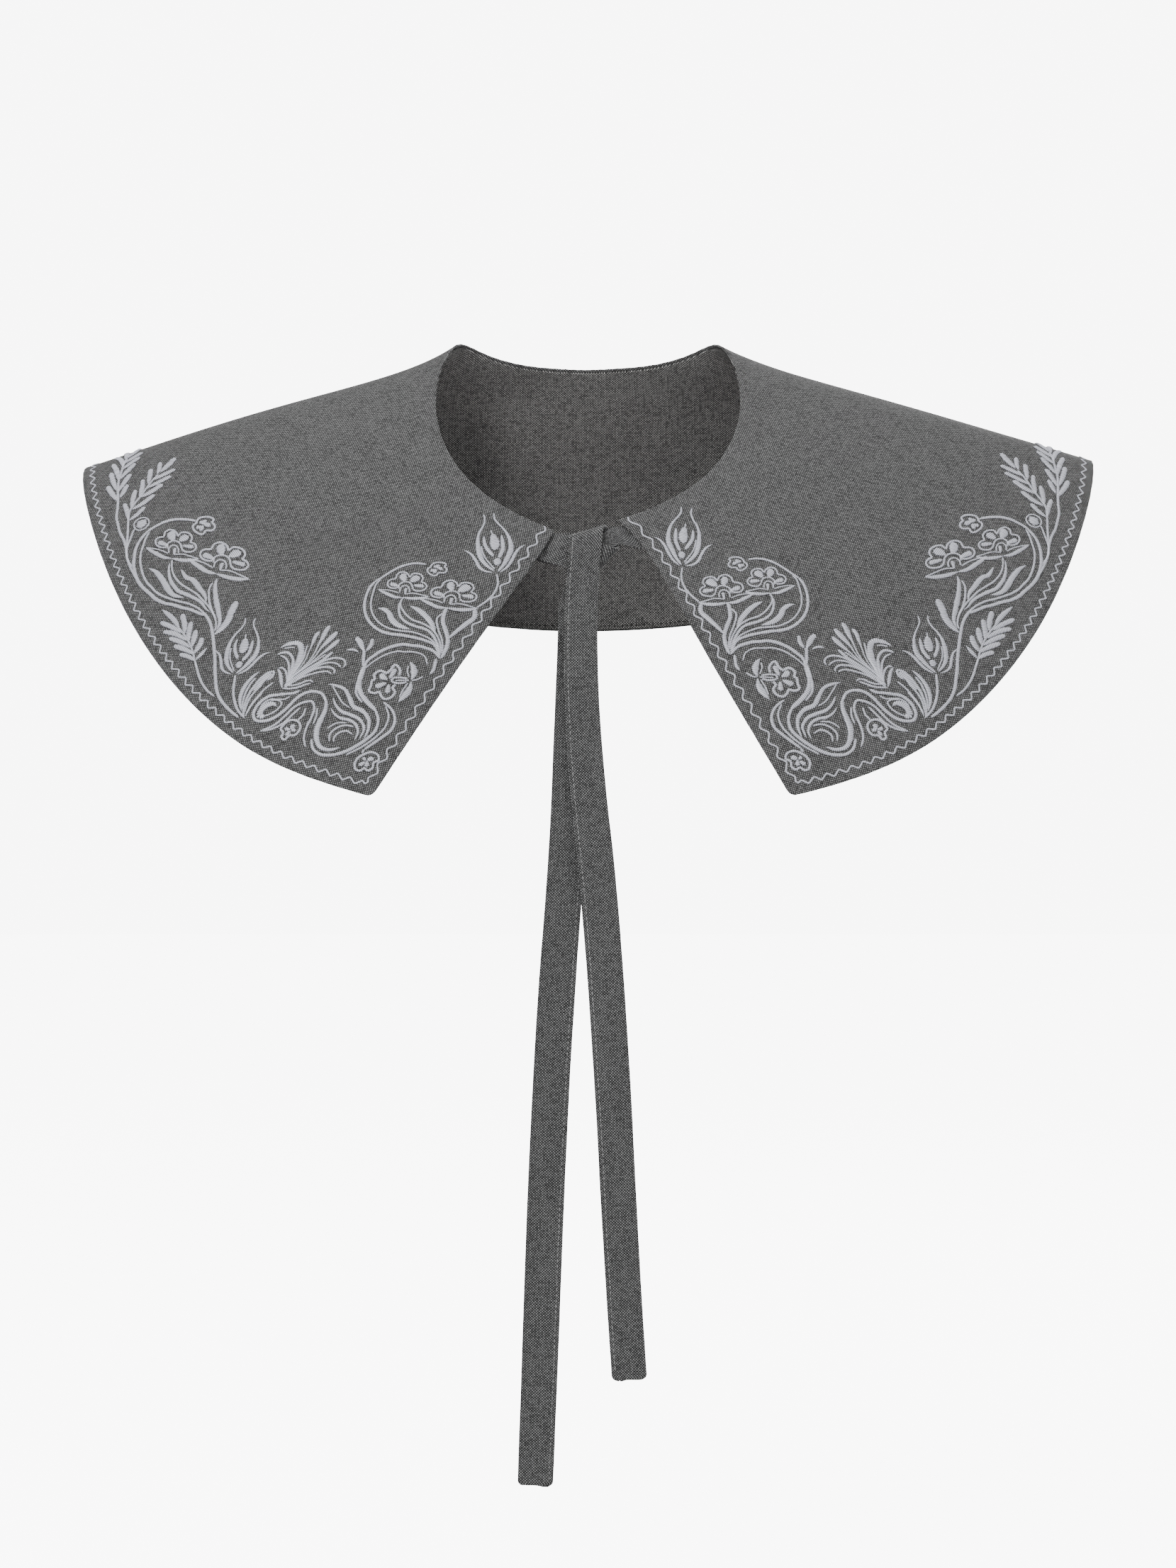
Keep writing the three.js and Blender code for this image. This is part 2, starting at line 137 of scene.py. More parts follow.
TIP_ACANTHUS = [
    ("stem", 1.7, "35.3,28 30,29.2 25,27.5 22.2,23.9 21.4,18.9 20.8,12.2 20.6,9"),
    ("stem", 1.2, "33,27.8 28.9,26.7 24.7,22.2 23,16.7 22.2,8.9 22.8,1"),
    ("leaf", 2.6, "25,11.7 27.8,15.6 31,18 36,18.3 40.6,16 44.4,16.7 50,17.2 52.8,15.6 56,12.8"),
    ("stem", 1.0, "41,14.4 44.4,13.1 49,13.3 54.4,13.9"),
    ("leaf", 2.1, "26,10 29.4,14.4 33.3,15 37.8,12.8 41,10.6 45.6,10 49.2,11"),
    ("leaf", 1.8, "26.7,7.8 28.9,11 32.8,12.2 36,11 38.9,8.3 42.2,7.2 45.3,7.5"),
    ("stem", 1.2, "29.4,8.6 32.2,7.2 33.3,3.9 32.5,1 30.8,-0.3"),
    ("stem", 1.2, "32.2,11 35,7.8 35.8,3.9 34.7,0 32.2,-1.7"),
    ("stem", 1.0, "35.6,9.4 37.8,5.6 38,1"),
]
TIP_STEM = [
    ("stem", 2.9, "55.4,31.8 52.2,27.8 47.8,23.5 44.4,22.2 38.9,22.2 33.3,23.3"),
    ("stem", 1.9, "34.6,23.2 29.4,21.7 25.6,17.8 24.2,12.2 23.9,6.7 24.4,1.1 26.4,-4.7 30,-8.7 33.3,-9.4 "
                  "37.8,-7.5"),
    ("stem", 1.4, "54,29.4 50,24.4 45,20.4 40,20.2"),
]
S_SCROLL = [
    ("leaf", 3.0, "27.2,0.6 28.9,-3.9 32.2,-6.4 36,-5.8 40,-3.3 43.3,1 45.6,4.4 48.9,7.2 52.8,8.3"),
    ("stem", 1.9, "49.5,7.4 53.3,8 56.1,6.3 58.3,2.2 58.3,-2.8 57.2,-7.2 56.4,-11.7 56.4,-16.1 57.8,-20 "
                  "60.6,-22.8 "
                  "63.3,-22.2 65.6,-19.4 66.9,-15 66.7,-11.7 65,-8.3 63.1,-5 61.4,-2.2 60.8,1"),
    ("stem", 1.0, "61.1,-4.2 61.1,-6.4 62.8,-9.2 64.8,-11.7 65.4,-15 64.2,-18.4"),
    ("stem", 1.0, "64.6,-12.4 62.6,-9.6 60.4,-8.9 59.2,-11.1 58.9,-15 59.7,-18.3 61,-20.2"),
    ("blade", 3.1, "60.4,-11.6 62.3,-12 63.6,-14.4 63.3,-17.6 61.2,-20 59.4,-18.6"),
]
UNDER_SCROLL = [
    ("stem", 1.4, "36,-11.7 40,-10 43.9,-6 46.7,-1.7 50,1.7 52.8,2.4 54.7,-0.6 55.3,-5.6 54.2,-10.6 "
                  "53.3,-16.7 54.6,-24.2"),
    ("stem", 1.1, "43.3,-3.3 45.6,0 48.9,2.6"),
    ("stem", 1.3, "53.6,-3.3 52.6,-8.3 51.6,-13.9 52.4,-19.4 54,-23"),
    ("stem", 1.2, "48.9,-7.8 49.7,-4.4 51.9,-1.6"),
]
LILY = [
    ("stem", 1.3, "59.2,22.5 60,24.2 62.2,24.7 64.4,23.3 65.8,21.1 66.7,18.3 67.2,15 67.7,11.7 67.8,6 "
                  "67.4,1"),
    ("stem", 1.1, "59.7,21.7 61.9,21.4 63.9,20 65.6,17.2 66.4,13.9 66.9,10 67,4 66.9,-0.5"),
    ("stem", 1.3, "58.9,17.5 60,18.6 62.2,18.1 64.2,15.8 65.6,12.8 66.4,8.4 66.4,2"),
    ("stem", 1.1, "59.4,16.7 61.4,15.8 63.1,13.3 64.4,10 65.6,6.1 66.1,1 66.4,-2.6"),
    ("bud", 1.7, "68.5,23 67.8,18.3 68.1,12.8 68,6 67.8,0"),
    ("stem", 0.9, "69.3,20 69.2,12.8 68.9,6 68.4,0"),
    ("bud", 2.6, "72.2,28.6 71.4,25 70.8,21.1 70.3,16.7 69.4,11.7 68.8,4 68.2,-1"),
    ("bud", 2.9, "76.1,30 75.3,27.2 74.4,23.9 73.1,19.4 71.4,15.6 70,11.1 69,5 68.2,-1"),
    ("bud", 2.7, "80.8,29 79.4,26.1 77.5,23.3 75.6,20 73.3,16.7 71.1,12.4 69.6,7 68.4,0.6"),
    ("bud", 2.2, "81.1,23.6 79.7,20.6 77.5,17.8 75,14.4 72.5,11.1 70.6,7.2 68.8,1.4"),
    ("stem", 1.0, "78.3,15.6 76.1,13.3 73.9,11.1 71.9,7.8 70.3,3.9 68.8,0.6"),
    ("leaf", 3.4, "84.4,5 83.9,8.3 82.8,11.1 81.4,12.7 79.4,12.8 76.7,11.4 73.9,8.6 71.7,5.4 69.4,1.8 "
                  "67.8,-1"),
    ("stem", 0.9, "83.1,6.1 82.1,8.3 80.6,10.4"),
    ("stem", 1.6, "82.2,2.2 81.7,4.4 80.3,6.4 77.8,6.9 75,6.1 72.5,3.9 70.3,1.7 67.6,-1.6"),
    ("stem", 1.3, "81.1,3 78.3,4.2 75.6,3.9 72.8,2.5 70.6,1 67.8,-2"),
    ("stem", 1.3, "76.1,-1.1 75.3,0.3 73.3,0.8 70.6,0 67.8,-1.7 66.2,-3.2"),
    ("leaf", 2.2, "76.2,-1.5 73.9,-1.7 71.1,-2.8 68.6,-4 66.6,-4.9"),
    ("stem", 1.1, "60.6,7.8 61.9,7.5 63.1,5.6 63.6,2.8 64.7,0 66.4,-2.4"),
    ("stem", 1.2, "61.1,6.7 61.9,3.9 62.8,0.6 64.7,-2.8 66.4,-4.9"),
    ("fill", 2.2, "66.2,-4 68,2"),
]
FAN_SPRAY = [
    ("stem", 1.1, "71.4,-6.7 71.1,-10.6 69.7,-16.1 68,-20.6 65.8,-24.4"),
    ("stem", 0.9, "70,-13.3 68.6,-18.3 66.7,-22.8 65,-25.4"),
    ("stem", 1.5, "73.9,-8.3 74.4,-5 75.8,-3.6 76.9,-5.6 76.7,-9.4 75.3,-13.9 73.6,-17.8 71.4,-21.1 "
                  "68.3,-24.4 65.4,-26"),
    ("blade", 2.5, "73.4,-16 74.4,-12 75.4,-8.4 75.6,-4.8"),
    ("stem", 1.2, "73.6,-11.1 72.8,-15 71.4,-18.9 69.2,-22.2 66.7,-24.9"),
    ("leaf", 2.3, "80,-9 79.4,-13.3 77.8,-17.8 75,-21.7 72.2,-23.9 68.3,-25.5"),
    ("stem", 1.2, "78.3,-11.7 77.2,-15 75,-18.9 72.2,-22.2 69,-24.8"),
    ("stem", 1.6, "85.4,-18.4 83.9,-19.4 81.1,-21.7 77.8,-23.9 73.9,-25.6 69.4,-26.6 64.4,-26.2"),
]
HEM_STEMS = [
    ("stem", 2.0, "66.4,-28.2 71.1,-29.4 75.6,-30 80,-30 84.4,-28.9 88.9,-26.7 93.3,-24.4 97.8,-21.7 "
                  "102.2,-19.4 "
                  "105,-18 107.7,-16.7 110,-15.7 113.3,-14.3 116.7,-13.4 120,-13.1 123,-13.3"),
    ("stem", 1.4, "82.2,-31.4 86.7,-32.5 91.1,-32.5 95.6,-31.7 100,-30.3 103.7,-29.2"),
    ("stem", 1.4, "122,-13 126.7,-14 129.3,-15 132,-16.3 134.7,-18.2 137.3,-19.8 140,-21.3 142.7,-22.7 "
                  "145.3,-23.7 "
                  "148.3,-24.5 151.1,-24.7 155.6,-25 160,-24.4 164.4,-23.1 168.9,-21.1 172.2,-18.9 "
                  "175,-16.1 "
                  "177.8,-13.3 180.4,-9.8"),
    ("stem", 2.1, "121,-13.4 123.3,-14.7 126,-16 128.7,-17.3 131.3,-19.2 134,-20.7 136.7,-22.3 "
                  "139.3,-24.2 142,-25.5 "
                  "144.7,-26.5 148.6,-27 153.9,-27.8 158.9,-27.8 163.9,-26.7 168.3,-25 172.8,-22.2 "
                  "176.7,-18.9 "
                  "179.4,-15 181.1,-10.6"),
    ("stem", 1.8, "181,-11.4 181.3,-8 181.1,-5.6 180.3,-1.1 178.3,2.8 175.6,5.8 172.8,8.3 170.3,9.9"),
    ("stem", 1.2, "110.7,-14.3 111.7,-13 114.3,-11.3 117.3,-10.3 120.7,-9.8 124,-9.7 130,-10.2 "
                  "133.3,-10.5 136,-11.2 "
                  "139.3,-12.2 142.7,-13.2 146,-13.6 149.3,-13.5 153.3,-12.5 156.1,-11.1 158.3,-9.7"),
    ("leaf", 2.3, "121,-10.6 123,-11.2 127.3,-11.2 130,-11.7 132.7,-12.7 135.3,-13.7 138,-15 140.7,-16.2 "
                  "144,-16.4 "
                  "147.8,-16.2 151.7,-15 155,-13.3 157.6,-11.4"),
]
HEM_LEAVES = [
    ("blade", 3.7, "109.2,-15.3 109.7,-11 111.5,-6.5 114.3,-3 117.6,1.8"),
    ("leaf", 3.1, "110.6,-13 112.7,-10.3 114.7,-9 117.3,-8 120.7,-6.6 124,-5.4 126.7,-4.2 129.3,-2.9 "
                  "132,-1.2 134.6,1.2"),
    ("stem", 1.3, "116,-10.4 120.7,-9.6 124,-8.7 126.7,-7.7 129.3,-6.3 131.7,-4.7 133.9,-1.6"),
    ("leaf", 3.1, "126.6,-9.4 129,-8.3 131,-7.9 134.4,-8 138.9,-7.9 142.2,-8.3 144.4,-9.6 147.2,-9.6 "
                  "150.4,-9.2"),
    ("leaf", 3.5, "136.1,-16.1 138.3,-17.8 141.1,-19.2 144.4,-19.5 147.8,-19.2 151.7,-18.8 155.6,-18.8 "
                  "158.9,-19.2 162,-20.4"),
]
LEAF_SPRIG = [
    ("stem", 1.2, "100,-30.2 104,-29 107.3,-27.8 111,-26.8 115,-26.2 120,-26 124,-26.1"),
    ("leaf", 2.2, "103.6,-28.8 104.3,-26 105,-23.3 105.6,-21.4"),
    ("blade", 2.9, "107,-27.6 108.3,-24.7 109.7,-22.3 111.9,-20.4"),
    ("blade", 3.0, "110.6,-26.4 113.3,-24 115,-22.3 117.2,-20.5"),
    ("blade", 2.9, "114,-26 117.3,-24.4 119.6,-22.4 122.4,-20"),
    ("blade", 3.0, "119,-25.6 121.6,-23.9 124.4,-22.6 129,-21.2"),
    ("leaf", 3.0, "122.6,-26.2 126.7,-25.7 130,-25.8 133.3,-26.3 137.6,-27.1"),
    ("blade", 2.4, "103.6,-29.2 106.7,-30 109,-31.3 111.4,-33.1"),
    ("blade", 2.7, "107,-28 110,-28.9 112.9,-30.3 117.1,-32.8"),
    ("blade", 2.7, "110.9,-27.2 114.4,-28.4 117.6,-29.8 122.1,-32.4"),
    ("blade", 2.7, "115.2,-26.6 119,-27.8 122.4,-29.3 127,-32.8"),
    ("blade", 2.7, "120.6,-26.5 124.4,-27.7 127.6,-29 132.2,-31.2"),
]
SHOULDER_BUD = [
    ("loop", 0.9, "183.7,-10.6 184.5,-8.1 187.2,-6.7 189.9,-7.6 191,-10 190.2,-12.7 187.8,-13.9 185,-13.3"),
    ("fill", 5.6, "185.2,-11.6 189.4,-9"),
    ("stem", 1.2, "187,-14 186,-15.6 183.9,-17.8 181,-21 178,-23.6 174,-25.6"),
]
# The two wheat ears: stem first, then their leaflets from root to point.
WHEAT_EARS = [
    ("stem", 1.4, "168,-26 173.9,-25.4 178,-23.6 184.4,-19.6 188.3,-17.2 192.2,-15 195,-13.3 198.3,-11.1 "
                  "201,-7 "
                  "203.4,-2.4 206,1.8 208.6,6 210.6,10.4"),
    ("blade", 2.5, "193.4,-13.8 194.1,-8.9 195.7,-4.2"),
    ("blade", 2.8, "198.6,-9.6 198.3,-4.4 199.5,3"),
    ("blade", 3.0, "202.7,-3 202.3,2.2 203.1,9.1"),
    ("blade", 2.6, "206,2 205.6,7.8 205,14.6"),
    ("blade", 2.6, "209.1,6.5 208.6,12.2 208,18.3"),
    ("blade", 3.2, "211.2,11.8 213.1,16.7 215.9,21.9"),
    ("blade", 2.5, "211,10.2 214.4,12.8 218,14.8"),
    ("blade", 2.7, "208.2,3.9 213.1,7.2 217,9.5"),
    ("blade", 2.5, "203.2,-3.2 208.7,1.1 212.7,3.2"),
    ("blade", 2.7, "200.2,-9.3 204.3,-6.1 208.8,-2.6"),
    ("blade", 2.4, "194.2,-13.9 200,-11.7 205,-10.6"),
    ("stem", 1.6, "160,-27.8 168,-26.8 173.9,-25.4 180,-22.8 184.4,-21.4 190.6,-20.4 195,-19 200,-17.2 "
                  "204.4,-14.4 "
                  "208.3,-12.2 214.4,-9.2 220.6,-5.8 226.1,-1.8 231.1,1.6 235,5"),
    ("blade", 2.6, "209.8,-10.4 212,-7.4 215.1,-3.7"),
    ("blade", 2.8, "214.2,-9 217.6,-4.4 221.2,0.8"),
    ("blade", 2.8, "221.5,-4.6 224.5,0.9 227,5.8"),
    ("blade", 2.6, "227.4,-0.8 229,4.4 230.4,9.6"),
    ("blade", 2.8, "231.6,1.6 232.6,6.7 234,12.4"),
    ("blade", 2.9, "235,5 238,9.6 242.6,13.6"),
    ("blade", 2.7, "234.6,3.8 239.6,6.4 245.4,7.6"),
    ("blade", 2.6, "229,0.4 235.6,2 242.6,1.6"),
    ("blade", 2.7, "221,-5.6 228.9,-3.2 235.2,-2.4"),
    ("blade", 2.7, "215.5,-9.4 222.8,-7.8 229,-6"),
    ("blade", 2.8, "208.2,-12 215.6,-12 221.4,-11.4"),
]
# Blossoms are drawn once, in units of their own with y up, and laid on the chart several times.
# This one is seen half from the side: its outline, two arches, petals and sepals.
BLOSSOM = [
    ("line", 24, "118,92 145,66 200,58 258,73 282,112 262,152 226,170 246,212 232,258 182,284 126,280 "
                 "92,246 "
                 "76,284 40,314 -5,320 -50,296 -76,242 -120,236 -160,216 -173,176 -156,140 -112,120 "
                 "-62,122 -42,148"),
    ("line", 22, "-42,108 -36,158 5,185 60,187 104,156 118,100"),
    ("line", 20, "-36,60 -26,108 10,138 54,134 78,96 76,52"),
    ("wedge", 46, "40,112 34,80 24,30"),
    ("wedge", 62, "256,114 200,122 130,134"),
    ("wedge", 124, "206,248 150,214 96,180"),
    ("wedge", 122, "0,298 20,246 38,190"),
    ("wedge", 72, "-148,178 -96,164 -40,140"),
    ("leaf", 50, "-14,-6 90,-30 190,-36 298,-24"),
    ("line", 17, "30,34 120,36 210,8 292,-20"),
    ("leaf", 54, "-6,-8 -90,4 -180,52 -286,118"),
    ("line", 17, "-48,52 -120,88 -200,110 -286,122"),
]
SMALL_BLOSSOM = [
    ("line", 26, "-74,26 -71,52 -46,81 4,94 55,90 98,62 100,50 82,38 84,30 109,-3 105,-40 80,-57 38,-56 "
                 "12,-60 "
                 "6,-78 -13,-95 -46,-91 -80,-70 -105,-40 -112,-7 -100,16 -76,24"),
    ("wedge", 66, "66,-8 30,8 -6,24"),
    ("wedge", 66, "14,66 4,40 -8,16"),
    ("wedge", 46, "-44,46 -24,32 -4,14"),
    ("wedge", 52, "-82,-18 -44,-18 -2,-6"),
    ("wedge", 50, "-40,-60 -24,-40 -4,-14"),
]
SIDE_BLOSSOM = [
    ("line", 27, "-120,40 -112,82 -158,130 -206,76 -228,60 -286,78 -342,42 -336,4 -352,-2 -366,-50 "
                 "-380,-94 "
                 "-334,-110 -284,-102 -276,-124 -244,-156 -178,-142 -150,-92 -172,-62 -150,-40"),
    ("wedge", 56, "-156,98 -180,50 -204,12"),
    ("wedge", 76, "-296,44 -258,24 -222,4"),
    ("wedge", 60, "-326,-62 -280,-42 -230,-24"),
    ("wedge", 56, "-216,-112 -212,-74 -208,-36"),
    ("line", 22, "-44,14 -110,22 -176,12 -184,-8 -160,-20 -100,-24 -50,-14"),
    ("line", 16, "-30,0 -90,0 -150,-4"),
    ("leaf", 70, "-10,4 12,52 6,100 -30,156"),
    ("leaf", 66, "-8,-8 -20,-70 -64,-132 -116,-182"),
    ("line", 15, "-30,30 -48,80 -40,120"),
    ("line", 15, "-40,-24 -84,-90 -106,-140"),
    ("line", 17, "0,0 44,10 90,34"),
]
TIP_BLOSSOM = [
    ("line", 26, "-90,-70 -102,-20 -72,30 -20,60 50,76 108,50 114,10 70,-10 64,-50 20,-74 -10,-56 "
                 "-50,-76 -88,-70"),
    ("wedge", 50, "-62,-36 -34,-18 -8,0"),
    ("wedge", 56, "10,-46 10,-22 8,4"),
    ("wedge", 60, "70,30 40,20 10,8"),
    ("wedge", 46, "-32,32 -14,20 4,10"),
    ("fill", 44, "-40,92 -20,78"),
]
HANGING_BLOSSOM = [
    ("line", 26, "-98,12 -64,50 -4,82 58,70 88,30 74,-20 30,-50 -2,-46 -58,-80 -82,-60 -70,-20 -98,10"),
    ("wedge", 50, "-58,14 -32,8 -4,2"),
    ("wedge", 60, "26,48 14,24 0,4"),
    ("wedge", 54, "50,-2 24,-4 0,-2"),
    ("wedge", 44, "-44,-50 -24,-28 -4,-6"),
]
TULIP = [
    ("petal", 40, "-5,10 -35,60 -55,120 -65,170 -50,230 -25,280 10,325 50,365 85,405 100,455"),
    ("petal", 40, "20,15 70,50 115,95 145,150 165,210 175,270 168,320 155,360 155,410 172,450"),
    ("blade", 30, "18,282 0,225 -10,180 -5,145 5,112"),
    ("blade", 28, "135,277 125,230 105,190 75,155 45,125"),
    ("drop", 76, "97,324 78,282 60,240 48,205 44,170"),
    ("fill", 54, "24,108 -2,56"),
    ("leaf", 27, "-155,200 -125,180 -100,140 -85,90 -60,40 -20,5"),
    ("leaf", 27, "250,177 200,145 155,90 120,40 80,15 30,5"),
    ("line", 13, "20,30 60,70 94,108 124,158 140,200"),
]
# Each blossom on the chart: its drawing, its place, and how far a hundred of its units reach,
# right and up.
BLOSSOMS = [
    (TULIP, (85.6, -18.6), (4.26, -4.36), (3.24, 5.93)),
    (TULIP, (64.0, 104.2), (3.1, -5.6), (5.45, 4.9)),
    (BLOSSOM, (136.8, 2.6), (-3.9, 3.5), (4.55, 2.95)),
    (BLOSSOM, (159.2, -9.0), (-2.8, 3.2), (4.8, 2.15)),
    (BLOSSOM, (60.1, 76.5), (-2.15, 3.8), (3.5, 2.55)),
    (BLOSSOM, (74.9, 63.3), (-1.75, 3.3), (3.6, 1.95)),
    (SMALL_BLOSSOM, (165.4, 11.4), (-3.1, 3.6), (4.9, 2.6)),
    (SMALL_BLOSSOM, (79.2, 83.5), (-1.98, 3.25), (3.05, 2.15)),
    (SIDE_BLOSSOM, (37.4, 44.2), (-2.65, 4.05), (4.75, 3.35)),
    (TIP_BLOSSOM, (15.4, 6.6), (-2.6, 4.0), (4.7, 3.3)),
    (HANGING_BLOSSOM, (46.9, -12.6), (-2.6, 4.0), (4.7, 3.3)),
]

PANEL = (
    TULIP_STEM + NECK_STEMS + NECK_CURL + LEFT_ARCS + SPROUT
    + TIP_ACANTHUS + TIP_STEM + S_SCROLL + UNDER_SCROLL + LILY + FAN_SPRAY
    + HEM_STEMS + HEM_LEAVES + LEAF_SPRIG + SHOULDER_BUD + WHEAT_EARS
)

CHART_TOWARD = 190 / 560  # place on the hem that the chart's x axis points to
ZIGZAG_IN = 4.8  # its middle line lies this far inside the edges
ZIGZAG_SWING = 1.1
ZIGZAG_STEP_FRONT = 7.7  # one full wave down the front edges
ZIGZAG_STEP_HEM = 5.8
ZIGZAG_START = 0.6  # it begins this far below the neck corner
EDGE_STEP = 0.12
BORDER_STEP, BORDER_HALF_WIDTH, BORDER_RISE = 0.3, 0.43, 0.42
STITCH_PITCH = 0.8
STITCH_RISE = 0.75
STITCH_SLANT = 0.16  # a stitch leans this share of its width along its line


def section(row, side, neck_drop, hem_drop):
    nx, ny, nd, hx, hy, hd, bulge, stand, sway, tilt, bow = row
    swing = TIP_SWAY * sway
    return [
        side * nx * NECK_HALF_WIDTH + NECK_SWAY_SHARE * swing,
        ny * (NECK_FRONT if ny < 0 else NECK_BACK),
        -nd * neck_drop + side * CORNER_STEP * sway,
        side * hx * HEM_HALF_WIDTH + swing,
        hy * (HEM_FRONT if hy < 0 else HEM_BACK),
        -SHOULDER_DROP - hd * (hem_drop - SHOULDER_DROP) + side * SHOULDER_TILT * tilt,
        BULGE * bulge,
        (RIGHT_STAND if side > 0 else LEFT_STAND) * stand,
        (RIGHT_BOW if side > 0 else LEFT_BOW) * bow,
    ]


def half_collar(side):
    front = [section(row, side, NECK_FRONT_DROP, TIP_DROP) for row in FRONT_SECTIONS]
    back = [section(row, side, NECK_BACK_DROP, BACK_HEM_DROP) for row in BACK_SECTIONS]
    return front + back


SECTIONS = np.array(half_collar(-1)[:-1] + half_collar(1)[::-1])


def spline(rows, t):
    """Uniform cubic spline through rows, starting and ending on its end rows."""
    last = len(rows) - 1
    x = np.clip(t, 0, 1) * last
    i = np.minimum(x.astype(int), last - 1)
    f = (x - i)[:, None]
    ends = np.vstack([2 * rows[0] - rows[1], rows, 2 * rows[-1] - rows[-2]])
    weights = ((1 - f) ** 3, 3 * f**3 - 6 * f**2 + 4, -3 * f**3 + 3 * f**2 + 3 * f + 1, f**3)
    return sum(ends[i + k] * weights[k] for k in range(4)) / 6


def unit(v):
    return v / np.linalg.norm(v, axis=-1, keepdims=True)


def length_of(points):
    return np.linalg.norm(np.diff(points, axis=0), axis=1).sum()


def lengths_along(points):
    """How far along a line each of its points lies."""
    return np.concatenate([[0], np.cumsum(np.linalg.norm(np.diff(points, axis=0), axis=1))])


def read_along(at, known, values):
    """Each column of values, given at known lengths, read at other lengths."""
    return np.stack([np.interp(at, known, column) for column in values.T], axis=1)


def leftward(line):
    """Directions square to a flat line, and the way it runs."""
    along = unit(np.gradient(line, axis=0))
    return np.stack([-along[:, 1], along[:, 0]], axis=1), along


def drape(t, s):
    """Outer face: t runs round from the left front edge, s from neck to hem."""
    t, s = np.broadcast_arrays(np.asarray(t, float), np.asarray(s, float))
    shape = t.shape
    t, s = t.ravel(), s.ravel()
    row = spline(SECTIONS, t)
    before = spline(SECTIONS, np.maximum(t - 0.001, 0))
    after = spline(SECTIONS, np.minimum(t + 0.001, 1))
    run = row[:, 3:6] - row[:, :3]
    out = unit(np.cross(after[:, :3] + after[:, 3:6] - before[:, :3] - before[:, 3:6], run))
    s = s[:, None]
    dip = (s / STAND_AT) * np.exp(1 - s / STAND_AT)
    point = row[:, :3] + run * s + out * (row[:, 6:7] * 4 * s * (1 - s) - row[:, 7:8] * dip)
    point[:, :1] += row[:, 8:9] * dip * (1 - s)
    return point.reshape(shape + (3,))


def outward(t, s):
    """Direction facing away from the body."""
    t, s = np.broadcast_arrays(np.asarray(t, float), np.asarray(s, float))
    step = 0.002
    across = drape(np.minimum(t + step, 1), s) - drape(np.maximum(t - step, 0), s)
    down = drape(t, np.minimum(s + step, 1)) - drape(t, np.maximum(s - step, 0))
    return unit(np.cross(across, down))


def bump_at(t, s, middle_t, middle_s, wide_t, wide_s):
    return np.exp(-(((t - middle_t) / wide_t) ** 2) - ((s - middle_s) / wide_s) ** 2)


def ripple(t, s):
    """How far the real cloth lies off the smooth drape, in millimetres outward."""
    left = t < 0.5
    near = np.where(left, t, 1 - t)
    hand = np.where(left, 1.0, -0.6)
    wave = 0.55 * np.sin(21 * near + 2.4 * s + 0.8 * hand) * np.sin(3.1 * s + 0.4)
    wave += 0.4 * np.sin(47 * near - 3.2 * s + 1.7 * hand) * s
    wave += 0.22 * np.sin(88 * near + 5 * s * hand) * s**2
    edge = np.exp(-(1 - s) / 0.035) + np.exp(-s / 0.03) * 0.6
    wave += 0.16 * edge * np.sin(390 * near + 2 * np.sin(31 * near) + hand)
    front = np.exp(-near / 0.012)
    wave += 0.2 * front * np.sin(58 * s + 1.3 * np.sin(17 * s) + hand)
    wave -= 1.3 * bump_at(t, s, 0.73, 0.5, 0.012, 0.25)
    return wave * (1 - 0.75 * np.exp(-near / 0.01) * np.exp(-s / 0.12))


def surface(t, s, lift=0.0):
    """Point on the outer face, raised by lift."""
    return drape(t, s) + outward(t, s) * (ripple(t, s) + lift)[..., None]


ROUND_STEPS, DOWN_STEPS = 561, 41


def turned(v, angle):
    return np.array([
        v[0] * math.cos(angle) - v[1] * math.sin(angle),
        v[0] * math.sin(angle) + v[1] * math.cos(angle),
    ])


def angle_between(a, b):
    return math.acos(np.clip(a @ b / np.linalg.norm(a) / np.linalg.norm(b), -1, 1))


def flat_pattern():
    """Unrolls the drape from the middle back outward: neck and hem points of the flat cut."""
    t, s = np.linspace(0, 1, ROUND_STEPS), np.linspace(0, 1, DOWN_STEPS)
    p = drape(t[:, None], s[None, :])
    steps = np.linalg.norm(np.diff(p, axis=1), axis=2)
    run = np.concatenate([np.zeros((ROUND_STEPS, 1)), np.cumsum(steps, axis=1)], axis=1)
    lengths = run[:, -1]
    neck_step = np.linalg.norm(np.diff(p[:, 0], axis=0), axis=1)
    hem_step = np.linalg.norm(np.diff(p[:, -1], axis=0), axis=1)
    middle = ROUND_STEPS // 2
    neck, hem = np.zeros((ROUND_STEPS, 2)), np.zeros((ROUND_STEPS, 2))
    hem[middle] = (0, -lengths[middle])
    for way in (1, -1):
        i = middle
        while 0 <= i + way < ROUND_STEPS:
            j = i + way
            low = min(i, j)
            at_neck = angle_between(p[i, 1] - p[i, 0], p[j, 0] - p[i, 0])
            at_hem = angle_between(p[i, -2] - p[i, -1], p[j, -1] - p[i, -1])
            down = unit(hem[i] - neck[i])
            neck[j] = neck[i] + turned(down, way * at_neck) * neck_step[low]
            hem[j] = hem[i] + turned(-down, -way * at_hem) * hem_step[low]
            centre, down = (neck[j] + hem[j]) / 2, unit(hem[j] - neck[j])
            neck[j], hem[j] = centre - down * lengths[j] / 2, centre + down * lengths[j] / 2
            i = j
    return neck, hem, lengths, run / lengths[:, None]


FLAT_NECK, FLAT_HEM, LENGTHS, SHARE = flat_pattern()


def pick(table, t):
    """A table with a row for each step round the collar, read at any t."""
    x = np.clip(t, 0, 1) * (ROUND_STEPS - 1)
    i = np.minimum(x.astype(int), ROUND_STEPS - 2)
    f = (x - i).reshape(x.shape + (1,) * (table.ndim - 1))
    return table[i] * (1 - f) + table[i + 1] * f


